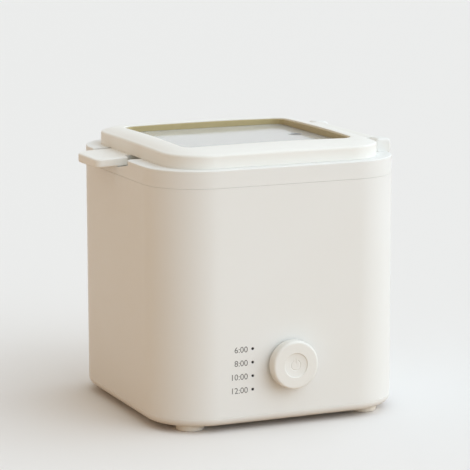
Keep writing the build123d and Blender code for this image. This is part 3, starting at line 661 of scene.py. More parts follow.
@dataclass(frozen=True)
class MouldedPlastic(Finish):
    """Injection-moulded plastic with a spark-eroded satin skin.

    It gives the eye an even colour with a broad, faint drift from the melt, and a soft sheen
    broken by the fine grain of the tool.

    Attributes:
        drift: Colour that the base drifts towards.
        drift_mm: Width of the drift.
        grain_mm: Size of the tool's grain. The real one is about 0.15 mm and is drawn coarser
            so that it shows.
        grain_depth_mm: Depth of the grain.
        drift_share: How much of the drift's colour shows at most.
        sheen_mm: Size of the patches of sheen.
        sheen_play: How far the roughness falls and rises over them.
    """

    drift: str = "#E4E1D8"
    drift_mm: float = 70.0
    grain_mm: float = 0.45
    grain_depth_mm: float = 0.006
    drift_share: float = 0.35
    sheen_mm: float = 6.0
    sheen_play: tuple[float, float] = (-0.03, 0.04)

    def pattern(self, tree: Tree, place: Socket) -> dict:
        """Builds drift, sheen and grain."""
        return {
            "Base Color": self.mottled(tree, place, self.drift_mm, self.drift, self.drift_share),
            "Roughness": self.uneven(tree, place, self.sheen_mm, self.sheen_play),
            "Normal": self.grained(tree, place, self.grain_mm, self.grain_depth_mm),
        }


@dataclass(frozen=True)
class SoftRubber(Finish):
    """Silicone or soft elastomer, with a matt bloom and a soft sheen at low angles.

    Attributes:
        bloom: Colour of the bloom that lies in patches on it.
        patch_mm: Size of the patches.
        sheen: Strength of the soft edge light.
        bloom_share: How much of the bloom's colour shows at most.
        bloom_detail: How many finer layers the patches have.
        grain_mm: Size of the pressed grain, drawn coarser than the real one so that it shows.
        grain_depth_mm: Depth of the grain.
    """

    bloom: str = "#FFFFFF"
    patch_mm: float = 5.0
    sheen: float = 0.15
    bloom_share: float = 0.18
    bloom_detail: float = 4.0
    grain_mm: float = 0.5
    grain_depth_mm: float = 0.01

    def pattern(self, tree: Tree, place: Socket) -> dict:
        """Builds the bloom, the edge light and a fine pressed grain."""
        bloom = self.mottled(
            tree, place, self.patch_mm, self.bloom, self.bloom_share, self.bloom_detail
        )
        return {
            "Base Color": bloom,
            "Sheen Weight": self.sheen,
            "Normal": self.grained(tree, place, self.grain_mm, self.grain_depth_mm),
        }


@dataclass(frozen=True)
class ClearPane(Finish):
    """Toughened glass with a near-white diffuse share, which is a painted reflection that makes it pale.

    Lamps shine through it, so what it covers is lit.

    Attributes:
        clearness: Share of the light that goes straight through. The rest meets the near-white diffuse
            share, which is a painted reflection.
        haze_mm: Size of the patches of haze.
        haze_play: How far the roughness falls and rises over them.
    """

    clearness: float = 0.7
    haze_mm: float = 18.0
    haze_play: tuple[float, float] = (0.0, 0.03)

    def pattern(self, tree: Tree, place: Socket) -> dict:
        """Builds the haze and the share of light that goes through."""
        return {
            "Roughness": self.uneven(tree, place, self.haze_mm, self.haze_play),
            # The share that does not go through is a near-white diffuse, a painted reflection that makes
            # the pane pale
            "Transmission Weight": self.clearness,
        }

    def behind(self, tree: Tree, skin: Socket) -> Socket:
        """Lets the rays that look for a lamp through, so that the pane casts no dark shadow."""
        clear = add_node(tree, "ShaderNodeBsdfTransparent", {"Color": linear(self.colour)}).outputs[0]
        lamp = add_node(tree, "ShaderNodeLightPath").outputs["Is Shadow Ray"]
        return add_node(tree, "ShaderNodeMixShader", {0: lamp, 1: skin, 2: clear}).outputs[0]


@dataclass(frozen=True)
class DrawnSteel(Finish):
    """Stainless steel with lines from drawing or brushing.

    It gives the eye bright, smeared reflections along the lines.

    Attributes:
        line_mm: Width of a line. Real lines are about 0.05 mm and are drawn coarser to show.
        stretch: How many times longer a line is than it is wide.
        upright: Whether the lines run up and down instead of round.
        line_detail: How many finer layers the lines have.
        line_play: How far the roughness falls and rises across the lines.
        line_depth_mm: Depth of a line.
    """

    line_mm: float = 0.35
    stretch: float = 60.0
    upright: bool = False
    line_detail: float = 3.0
    line_play: tuple[float, float] = (-0.06, 0.08)
    line_depth_mm: float = 0.01

    def pattern(self, tree: Tree, place: Socket) -> dict:
        """Builds the lines from a noise that is stretched along them."""
        along = 1.0 / self.stretch
        scale = (1.0, 1.0, along) if self.upright else (along, along, 1.0)
        drawn = add_node(tree, "ShaderNodeMapping", {"Vector": place, "Scale": scale}).outputs[0]
        return {
            "Metallic": 1.0,
            "Roughness": self.uneven(tree, drawn, self.line_mm, self.line_play, self.line_detail),
            "Normal": self.grained(tree, drawn, self.line_mm, self.line_depth_mm, self.line_detail),
        }


@dataclass(frozen=True)
class TurnedMetal(Finish):
    """Metal faced on a lathe, with fine rings about the upright centre line.

    Attributes:
        ring_mm: Distance between rings. Real ones are about 0.1 mm apart.
        ring_depth_mm: Depth of a ring.
        waver: How far the rings stray from true circles.
        stain_mm: Size of the stains.
        stain_play: How far the roughness falls and rises over the stains.
        stain_detail: How many finer layers the stains have.
    """

    ring_mm: float = 0.6
    ring_depth_mm: float = 0.01
    waver: float = 0.4
    stain_mm: float = 9.0
    stain_play: tuple[float, float] = (-0.05, 0.1)
    stain_detail: float = 4.0

    def pattern(self, tree: Tree, place: Socket) -> dict:
        """Builds the rings from a wave of the distance to the centre line."""
        rings = add_node(
            tree,
            "ShaderNodeTexWave",
            {"Vector": place, "Scale": per_metre(self.ring_mm) / math.tau, "Distortion": self.waver},
            wave_type="RINGS",
            rings_direction="Z",
        ).outputs["Fac"]
        relief = {"Height": rings, "Distance": self.ring_depth_mm * MILLIMETRE, "Strength": 1.0}
        return {
            "Metallic": 1.0,
            "Roughness": self.uneven(tree, place, self.stain_mm, self.stain_play, self.stain_detail),
            "Normal": add_node(tree, "ShaderNodeBump", relief).outputs["Normal"],
        }


@dataclass(frozen=True)
class PlatedMetal(Finish):
    """Plated or bare small metal parts, with a cloudy colour and sheen.

    Attributes:
        cloud: Colour of the clouds.
        cloud_mm: Size of the clouds.
        cloud_share: How much of the clouds' colour shows at most.
        cloud_play: How far the roughness falls and rises over the clouds.
        cloud_detail: How many finer layers the clouds have.
    """

    cloud: str = "#8E8C88"
    cloud_mm: float = 2.5
    cloud_share: float = 0.6
    cloud_play: tuple[float, float] = (-0.08, 0.12)
    cloud_detail: float = 5.0

    def pattern(self, tree: Tree, place: Socket) -> dict:
        """Builds the clouds in colour and roughness."""
        clouds = self.mottled(
            tree, place, self.cloud_mm, self.cloud, self.cloud_share, self.cloud_detail
        )
        return {
            "Base Color": clouds,
            "Metallic": 1.0,
            "Roughness": self.uneven(tree, place, self.cloud_mm, self.cloud_play, self.cloud_detail),
        }


@dataclass(frozen=True)
class Laminate(Finish):
    """Glass-fibre circuit board under green lacquer, with copper tracks showing through.

    Attributes:
        track: Colour over the tracks.
        track_mm: Distance between tracks.
        track_edge: Distances from a cell's border, in cells, where a track starts to end and
            where it has ended.
        track_play: How far the cells stray from a square grid.
        track_depth_mm: How high the tracks stand under the lacquer.
    """

    track: str = "#3F7A4A"
    track_mm: float = 2.5
    track_edge: tuple[float, float] = (0.08, 0.14)
    track_play: float = 0.35
    track_depth_mm: float = 0.035

    def pattern(self, tree: Tree, place: Socket) -> dict:
        """Builds the tracks from cell borders, raised a little under the lacquer."""
        cells = add_node(
            tree,
            "ShaderNodeTexVoronoi",
            {"Vector": place, "Scale": per_metre(self.track_mm), "Randomness": self.track_play},
            feature="DISTANCE_TO_EDGE",
            distance="MANHATTAN",
        ).outputs["Distance"]
        start, end = self.track_edge
        share = {"Value": cells, "From Min": start, "From Max": end, "To Min": 1.0, "To Max": 0.0}
        tracks = add_node(tree, "ShaderNodeMapRange", share).outputs["Result"]
        green = {MIX_SHARE: tracks, MIX_FIRST: linear(self.colour), MIX_SECOND: linear(self.track)}
        relief = {"Height": tracks, "Distance": self.track_depth_mm * MILLIMETRE, "Strength": 1.0}
        return {
            "Base Color": add_node(tree, "ShaderNodeMix", green, data_type="RGBA").outputs[MIX_RESULT],
            "Normal": add_node(tree, "ShaderNodeBump", relief).outputs["Normal"],
        }


@dataclass(frozen=True)
class PrintedInk(Finish):
    """Pad-printed ink, a thin grey film that lets a little of the ground through.

    Attributes:
        thin: Colour where the film is thin.
        thin_mm: Size of the thin places.
        thin_share: How much of the thin places' colour shows at most.
        thin_detail: How many finer layers the thin places have.
    """

    thin: str = "#8C8984"
    thin_mm: float = 0.8
    thin_share: float = 0.35
    thin_detail: float = 3.0

    def pattern(self, tree: Tree, place: Socket) -> dict:
        """Builds the thin and thick places of the film."""
        film = self.mottled(tree, place, self.thin_mm, self.thin, self.thin_share, self.thin_detail)
        return {"Base Color": film}


def seen_rays(tree: Tree) -> Socket:
    """Gives one for rays that show a background: straight, mirrored or through glass."""
    path = add_node(tree, "ShaderNodeLightPath").outputs
    seen = path["Is Camera Ray"]
    for name in ("Is Glossy Ray", "Is Transmission Ray"):
        seen = add_node(tree, "ShaderNodeMath", {0: seen, 1: path[name]}, operation="MAXIMUM").outputs[0]
    return seen


@dataclass(frozen=True)
class StudioFloor(Finish):
    """Pale matt studio paper, with the faint tooth of the sheet.

    Attributes:
        bounce: Colour of the light that it sends back up, warm as from a wooden table.
        tooth_mm: Size of the sheet's tooth.
        tooth_depth_mm: Depth of the tooth.
        shine: Strength of the reflection, where 0.5 is a common one.
    """

    bounce: str = "#C4A88B"
    tooth_mm: float = 1.5
    tooth_depth_mm: float = 0.02
    shine: float = 0.2

    def pattern(self, tree: Tree, place: Socket) -> dict:
        """Builds the tooth of the paper and its two colours, the seen one and the bounce's."""
        paper = {
            MIX_SHARE: seen_rays(tree),
            MIX_FIRST: linear(self.bounce),
            MIX_SECOND: linear(self.colour),
        }
        return {
            "Base Color": add_node(tree, "ShaderNodeMix", paper, data_type="RGBA").outputs[MIX_RESULT],
            "Specular IOR Level": self.shine,
            "Normal": self.grained(tree, place, self.tooth_mm, self.tooth_depth_mm),
        }


SHELL = MouldedPlastic("shell_plastic_moulded_satin", "#E8E7E2", 0.42)
LID_SKIN = MouldedPlastic("lid_plastic_moulded_satin", "#ECE9E1", 0.40)
KNOB_SKIN = MouldedPlastic("knob_plastic_moulded_satin", "#E9E7E0", 0.36)
FOOT_SKIN = SoftRubber("foot_elastomer_moulded_matt", "#EAE5D8", 0.62, bloom="#F1EEE6")
GASKET_SKIN = SoftRubber(
    "gasket_silicone_khaki", "#AE9C6E", 0.5, ior=1.43, bloom="#C2B58C", patch_mm=4.0, sheen=0.3
)
SEAL_SKIN = SoftRubber("seal_silicone_milky", "#DCDAD3", 0.45, ior=1.43)
# The pane's near-white colour is on its diffuse share, a painted reflection that makes it pale
PANE = ClearPane("window_glass_toughened_clear", "#FDFDFA", 0.09)
CHAMBER_SKIN = DrawnSteel("chamber_stainless_drawn", "#C9C7C2", 0.3)
RACK_SKIN = MouldedPlastic(
    "rack_plastic_moulded_satin", "#E6E3DA", 0.45, ior=1.49, drift="#DCD7C9", drift_mm=30.0
)
PLATE_SKIN = TurnedMetal("heating_plate_aluminium_turned", "#B9B9B8", 0.38)
PRESSED_SKIN = DrawnSteel("pressed_steel_rolled", "#A8A7A3", 0.36, line_mm=0.3, stretch=30.0, upright=True)
SCREW_SKIN = PlatedMetal("screw_steel_zinc_plated", "#B4B2AD", 0.3)
ELEMENT_SKIN = PlatedMetal("element_sheath_heat_darkened", "#6B6560", 0.5, cloud="#4A3F39", cloud_mm=6.0)
INNER_SKIN = MouldedPlastic("inner_plastic_moulded_dark", "#2B2B2D", 0.4, drift="#343436", drift_mm=12.0)
SENSOR_SKIN = PlatedMetal("contact_brass_bright", "#C2A567", 0.25, cloud="#A98B52")
BOARD_SKIN = Laminate("board_laminate_green_lacquer", "#22502F", 0.28)
LENS_SKIN = MouldedPlastic(
    "lamp_lens_smoked_polished",
    "#1E1C1B",
    0.15,
    ior=1.58,
    drift="#252321",
    drift_mm=3.0,
    grain_mm=0.8,
    grain_depth_mm=0.001,
)
INLET_SKIN = MouldedPlastic(
    "inlet_plastic_moulded_black", "#1B1B1C", 0.35, ior=1.52, drift="#232324", drift_mm=10.0, grain_mm=0.3
)
WIRE_SKIN = SoftRubber("wire_sheath_silicone", "#D9D6CE", 0.5, ior=1.43)
INK = PrintedInk("printed_ink_grey", "#5B5854", 0.55)
FLOOR = StudioFloor("studio_paper_pale", "#E9E5E0", 0.9)

FINISH_OF_SLOT: dict[str, Finish] = {
    "shell_plastic": SHELL,
    "lid_plastic": LID_SKIN,
    "knob_plastic": KNOB_SKIN,
    "foot_rubber": FOOT_SKIN,
    "gasket_silicone": GASKET_SKIN,
    "seal_silicone": SEAL_SKIN,
    "window_glass": PANE,
    "chamber_steel": CHAMBER_SKIN,
    "rack_plastic": RACK_SKIN,
    "plate_aluminium": PLATE_SKIN,
    "pressed_steel": PRESSED_SKIN,
    "screw_steel": SCREW_SKIN,
    "element_steel": ELEMENT_SKIN,
    "inner_plastic": INNER_SKIN,
    "sensor_brass": SENSOR_SKIN,
    "board_laminate": BOARD_SKIN,
    "lamp_lens": LENS_SKIN,
    "inlet_plastic": INLET_SKIN,
    "wire_sheath": WIRE_SKIN,
}


def dress_cad_nodes() -> None:
    """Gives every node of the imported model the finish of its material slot."""
    for entry in frame["record"]["subparts"]:
        mesh = frame["nodes"][entry["node"]].data
        mesh.materials.clear()
        mesh.materials.append(FINISH_OF_SLOT[entry["material_slot"]].material())
    log.info("dressed %d nodes of the packed model", len(frame["nodes"]))


def finish_piece(
    piece: bpy.types.Object,
    body: Body,
    slot: str,
    replaced: tuple[str, ...] = (),
    skin: Finish | None = None,
) -> None:
    """Shades a piece, gives it its finish and ties it to its body.

    Args:
        piece: The piece, in place in the frame of the model.
        body: The body that it moves with.
        slot: The record's material slot that its finish belongs to.
        replaced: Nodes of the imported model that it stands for.
        skin: A finish other than the slot's own.
    """
    smooth(piece)
    piece.data.materials.clear()
    piece.data.materials.append((skin or FINISH_OF_SLOT[slot]).material())
    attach(piece, body.value)
    if replaced:
        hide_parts(*replaced)
    log.info("%s: %d faces on %s", piece.name, len(piece.data.polygons), body.value)


# Sub-assemblies


@dataclass
class Casing:
    """The fixed shells: filleted tub, top collar with its notch and hinge lugs, and the feet."""

    # The tub, from its lower rim up to the seam
    outer: Outline = Outline(65.0, 65.0, 28.0)
    wall: float = 2.4
    base_z: float = 3.3
    cover_top_z: float = 4.9
    flange_top_z: float = 7.3
    recess_inset: float = 10.0
    opening_inset: float = 23.0
    base_fillet: float = 4.0
    inner_fillet: float = 2.0

    # The fine line round the foot, and the seam under the collar
    line_width: float = 0.36
    line_depth: float = 0.16
    seam_z: float = 119.2
    seam_gap: float = 0.07
    seam_round: float = 0.07

    # The collar: its rib in the tub, its rim, and the ledges inside its mouth
    rib_low_z: float = 112.8
    rib_high_z: float = 114.8
    rib_depth: float = 1.9
    rim_z: float = 127.9
    rim_round: float = 0.6
    ledge_low_z: float = 125.5
    seat_z: float = 123.4
    mouth_inset: float = 14.5
    mouth_round: float = 0.6
    skirt_inset: float = 11.0
    spigot_inset: float = 2.5
    spigot_depth: float = 2.0

    # The notch for the tab and the pan under it
    notch_y: tuple[float, float] = (-13.5, 31.5)
    notch_inner_x: float = -49.9
    notch_mouth: float = 5.0
    notch_floor_z: float = 123.1
    notch_corner: float = 1.2
    notch_step_y: float = -3.9
    notch_slope: float = 0.18
    pan_wall: float = 1.2
    pan_inner_x: float = -54.3
    pan_sunk: float = 0.3
    pan_corner: float = 0.5

    # The hinge's lugs and the bore of its pin
    lug: Outline = Outline(4.35, 3.95, 2.4)
    lug_centre: tuple[float, float] = (62.45, 130.65)
    lug_inner_y: float = 31.7
    lug_outer_y: float = 40.0
    lug_round: float = 1.4
    lug_end: float = 2.0
    hinge: tuple[float, float] = HINGE
    pin_radius: float = PIN_RADIUS
    pin_half_length: float = 38.5

    # Holes in the walls
    hole_flare: float = 0.25
    knob_z: float = KNOB_Z
    hub_hole_radius: float = 5.6
    lamp_x: float = -19.85
    lamp_low_z: float = LAMP_LOW_Z
    lamp_pitch: float = LAMP_PITCH
    lamp_count: int = 4
    lamp_hole_radius: float = 0.65
    inlet_z: float = 20.0
    inlet_hole: Outline = Outline(11.3, 6.3, 0.4)

    # Feet, and posts inside
    foot_x: float = 46.6
    foot_y: float = 50.0
    foot_radius: float = 7.0
    foot_round: float = 0.8
    foot_taper: float = 0.25
    post_radius: float = 3.5
    post_top_z: float = 20.0
    post_sunk: float = 0.5
    standoff_radius: float = 2.5
    front_board_y: float = 52.5
    front_standoffs: tuple[tuple[float, float], ...] = (
        (-26.8, 15.2),
        (-26.8, 46.8),
        (14.8, 15.2),
        (14.8, 46.8),
    )
    left_board_x: float = 58.5
    left_standoffs: tuple[tuple[float, float], ...] = (
        (-26.8, 37.2),
        (-26.8, 68.8),
        (26.8, 37.2),
        (26.8, 68.8),
    )

    def build(self) -> None:
        """Builds and dresses every shell."""
        self.housing()
        self.collar()
        self.feet()

    def lamp_heights(self) -> list[float]:
        """Gives the heights of the lamp windows."""
        return [self.lamp_low_z + self.lamp_pitch * step for step in range(self.lamp_count)]

    def wall_cutter(self, hole: Outline, centre: tuple[float, float], back: bool) -> bpy.types.Mesh:
        """Makes the solid that cuts a hole with a rounded mouth through a wall.

        Its profile runs straight through the wall and flares by a quarter circle where it
        leaves the outer face.

        Args:
            hole: The hole's outline.
            centre: The hole's x and height.
            back: Whether the wall is the back one instead of the front one.

        Returns:
            The solid.
        """
        reach, face = 3.0 * self.hole_flare, self.outer.half_y
        profile = rounded_profile(
            [
                Bend(0.0, face - 2.0 * self.wall),
                Bend(0.0, face, self.hole_flare),
                Bend(-reach, face),
                Bend(-reach, face + self.wall),
            ],
            closed=False,
        )
        section = Section(((-reach, hole.grown(reach)), (0.0, hole)))
        facing = Facing.BACK if back else Facing.FRONT
        rings = turned(section.rings(profile, SMALL), facing, (centre[0], 0.0, centre[1]))
        return mesh_of_rings("hole", rings, closed_profile=False)

    def housing(self) -> None:
        """Builds the tub from its wall's profile, joins its posts and cuts its openings.

        The profile runs up the outer wall from the lower rim and back down the inner one. A
        fine line runs round the wall where the lower edge's round ends.
        """
        top_z = self.seam_z - self.seam_gap / 2.0
        line_z = self.base_z + self.base_fillet
        profile = rounded_profile(
            [
                Bend(self.opening_inset, self.flange_top_z, SLIGHT_ROUND),
                Bend(self.opening_inset, self.cover_top_z, SLIGHT_ROUND),
                Bend(self.recess_inset, self.cover_top_z, FINE_ROUND),
                Bend(self.recess_inset, self.base_z, SLIGHT_ROUND),
                Bend(0.0, self.base_z, self.base_fillet),
                Bend(0.0, line_z),
                Bend(self.line_depth, line_z + self.line_width / 3.0),
                Bend(self.line_depth, line_z + self.line_width * 2.0 / 3.0),
                Bend(0.0, line_z + self.line_width),
                Bend(0.0, top_z, self.seam_round),
                Bend(self.wall, top_z, FINE_ROUND),
                Bend(self.wall, self.rib_high_z),
                Bend(self.wall + self.rib_depth, self.rib_high_z, SLIGHT_ROUND),
                Bend(self.wall + self.rib_depth, self.rib_low_z, SLIGHT_ROUND),
                Bend(self.wall, self.rib_low_z),
                Bend(self.wall, self.flange_top_z, self.inner_fillet),
            ],
            closed=True,
            steps=8,
        )
        section = offsets_of(self.outer, self.opening_inset)
        rings = section.rings(profile, FINE)
        piece = as_object(mesh_of_rings("housing_shell", rings, closed_profile=True))
        for x in (-self.foot_x, self.foot_x):
            for y in (-self.foot_y, self.foot_y):
                span = (self.flange_top_z - self.post_sunk, self.post_top_z)
                carve(piece, rod("post", self.post_radius, span, Facing.UP, (x, y, 0.0)), Carve.JOIN)
        wall_face = self.outer.half_x - self.wall + self.post_sunk
        for x, z in self.front_standoffs:
            span = (self.front_board_y, wall_face)
            carve(piece, rod("post", self.standoff_radius, span, Facing.FRONT, (x, 0.0, z)), Carve.JOIN)
        for y, z in self.left_standoffs:
            span = (self.left_board_x, wall_face)
            carve(piece, rod("post", self.standoff_radius, span, Facing.LEFT, (0.0, y, z)), Carve.JOIN)
        holes = [(circle(self.lamp_hole_radius), (self.lamp_x, z), False) for z in self.lamp_heights()]
        holes.append((circle(self.hub_hole_radius), (0.0, self.knob_z), False))
        holes.append((self.inlet_hole, (0.0, self.inlet_z), True))
        for hole, centre, back in holes:
            carve(piece, self.wall_cutter(hole, centre, back), Carve.CUT)
        finish_piece(piece, Body.HOUSING, "shell_plastic", ("outer_housing",))

    def notch_cutters(self) -> tuple[bpy.types.Mesh, bpy.types.Mesh]:
        """Makes the two solids that cut the tab's notch, in front of the tab and under it.

        In plan they make a rectangle that is open to the left, with rounded inner corners and
        a mouth that flares round the front corner.
        """
        (front, back), face, overlap = self.notch_y, -self.outer.half_x, 0.05
        past = face - self.notch_mouth
        before = [
            Bend(past, front - self.notch_mouth),
            Bend(face, front - self.notch_mouth),
            Bend(face, front, self.notch_mouth),
            Bend(self.notch_inner_x, front, self.notch_corner),
            Bend(self.notch_inner_x, self.notch_step_y),
            Bend(past, self.notch_step_y),
        ]
        under = [
            Bend(past, self.notch_step_y - overlap),
            Bend(self.notch_inner_x, self.notch_step_y - overlap),
            Bend(self.notch_inner_x, back, self.notch_corner),
            Bend(past, back),
        ]
        return self.notch_part(before, self.notch_slope), self.notch_part(under, 0.0)

    def notch_part(self, bends: list[Bend], slope: float) -> bpy.types.Mesh:
        """Makes a solid that cuts one part of the notch, with walls that lean out at the rim.

        Args:
            bends: Corners of the part in plan.
            slope: Rise of the floor for each millimetre towards the front from the tab.

        Returns:
            The solid.
        """
        plan = rounded_profile(bends, closed=True)
        flare, high = self.rim_round / 2.0, self.rim_z + 2.0
        levels = np.array([[0.0, 0.0], [self.rim_z - flare, 0.0], [self.rim_z, flare], [high, flare]])
        outward = plan - plan.mean(axis=0)
        outward /= np.linalg.norm(outward, axis=1, keepdims=True)
        rings = plan[None, :, :] + levels[:, 1, None, None] * outward[None, :, :]
        heights = np.repeat(levels[:, 0, None, None], len(plan), axis=1)
        heights[0, :, 0] = self.notch_floor_z + slope * (self.notch_step_y - plan[:, 1])
        return mesh_of_rings("notch", np.concatenate([rings, heights], axis=2), closed_profile=False)

    def pan(self) -> bpy.types.Mesh:
        """Makes the block under the notch that gives it a floor."""
        low_y, high_y = self.notch_y[0] - self.pan_wall, self.notch_y[1] + self.pan_wall
        outer_x, inner_x = self.wall - self.outer.half_x - self.pan_sunk, self.pan_inner_x
        plan = Outline((inner_x - outer_x) / 2.0, (high_y - low_y) / 2.0, self.pan_corner)
        centre = ((outer_x + inner_x) / 2.0, (high_y + low_y) / 2.0, 0.0)
        span = (self.notch_floor_z - self.pan_wall, self.ledge_low_z + self.pan_corner)
        return block("pan", plan, span, Facing.UP, centre)

    def hinge_lug(self, side: int) -> bpy.types.Mesh:
        """Makes one lug of the hinge as a rounded block whose edges are broken at both ends."""
        length = self.lug_outer_y - self.lug_inner_y
        profile = slab_profile(0.0, length, self.lug_round, self.lug_end)
        rings = offsets_of(self.lug, self.lug_end).rings(profile, SMALL)
        near_y = self.lug_inner_y if side > 0 else -self.lug_outer_y
        placed = turned(rings, Facing.BACK, (self.lug_centre[0], near_y, self.lug_centre[1]))
        return mesh_of_rings("lug", placed, closed_profile=False)

    def collar(self) -> None:
        """Builds the collar from its profile, with the tab's notch and the two lugs."""
        low_z = self.seam_z + self.seam_gap / 2.0
        inner_spigot = self.spigot_inset + self.spigot_depth
        profile = rounded_profile(
            [
                Bend(0.0, low_z, self.seam_round),
                Bend(0.0, self.rim_z, self.rim_round),
                Bend(self.mouth_inset, self.rim_z, self.mouth_round),
                Bend(self.mouth_inset, self.seat_z, FINE_ROUND),
                Bend(self.skirt_inset, self.seat_z, FINE_ROUND),
                Bend(self.skirt_inset, self.ledge_low_z),
                Bend(inner_spigot, self.ledge_low_z),
                Bend(inner_spigot, self.rib_high_z, SLIGHT_ROUND),
                Bend(self.spigot_inset, self.rib_high_z, SLIGHT_ROUND),
                Bend(self.spigot_inset, low_z),
            ],
            closed=True,
        )
        section = offsets_of(self.outer, self.mouth_inset)
        rings = section.rings(profile, FINE)
        piece = as_object(mesh_of_rings("collar_band", rings, closed_profile=True))
        carve(piece, self.pan(), Carve.JOIN)
        for cutter in self.notch_cutters():
            carve(piece, cutter, Carve.CUT)
        for side in (-1, 1):
            carve(piece, self.hinge_lug(side), Carve.JOIN)
        span = (-self.pin_half_length, self.pin_half_length)
        bore = rod("pin_hole", self.pin_radius, span, Facing.BACK, (self.hinge[0], 0.0, self.hinge[1]))
        carve(piece, bore, Carve.CUT)
        finish_piece(piece, Body.HOUSING, "shell_plastic", ("top_collar",))

    def feet(self) -> None:
        """Builds the four round feet, softly domed at the sole."""
        depths = {"front": -self.foot_y, "rear": self.foot_y}
        sides = {"left": -self.foot_x, "right": self.foot_x}
        reach = self.foot_radius - END_FLAT
        profile = rounded_profile(
            [
                Bend(reach, 0.0),
                Bend(self.foot_taper, 0.0, self.foot_round),
                Bend(0.0, self.base_z),
                Bend(reach, self.base_z),
            ],
            closed=False,
        )
        rings = offsets_of(circle(self.foot_radius), reach).rings(profile, ROUND)
        for depth, y in depths.items():
            for side, x in sides.items():
                name = f"foot_{depth}_{side}"
                placed = turned(rings, Facing.UP, (x, y, 0.0))
                piece = as_object(mesh_of_rings(f"{name}_pad", placed, closed_profile=False))
                finish_piece(piece, Body.HOUSING, "foot_rubber", (name,))


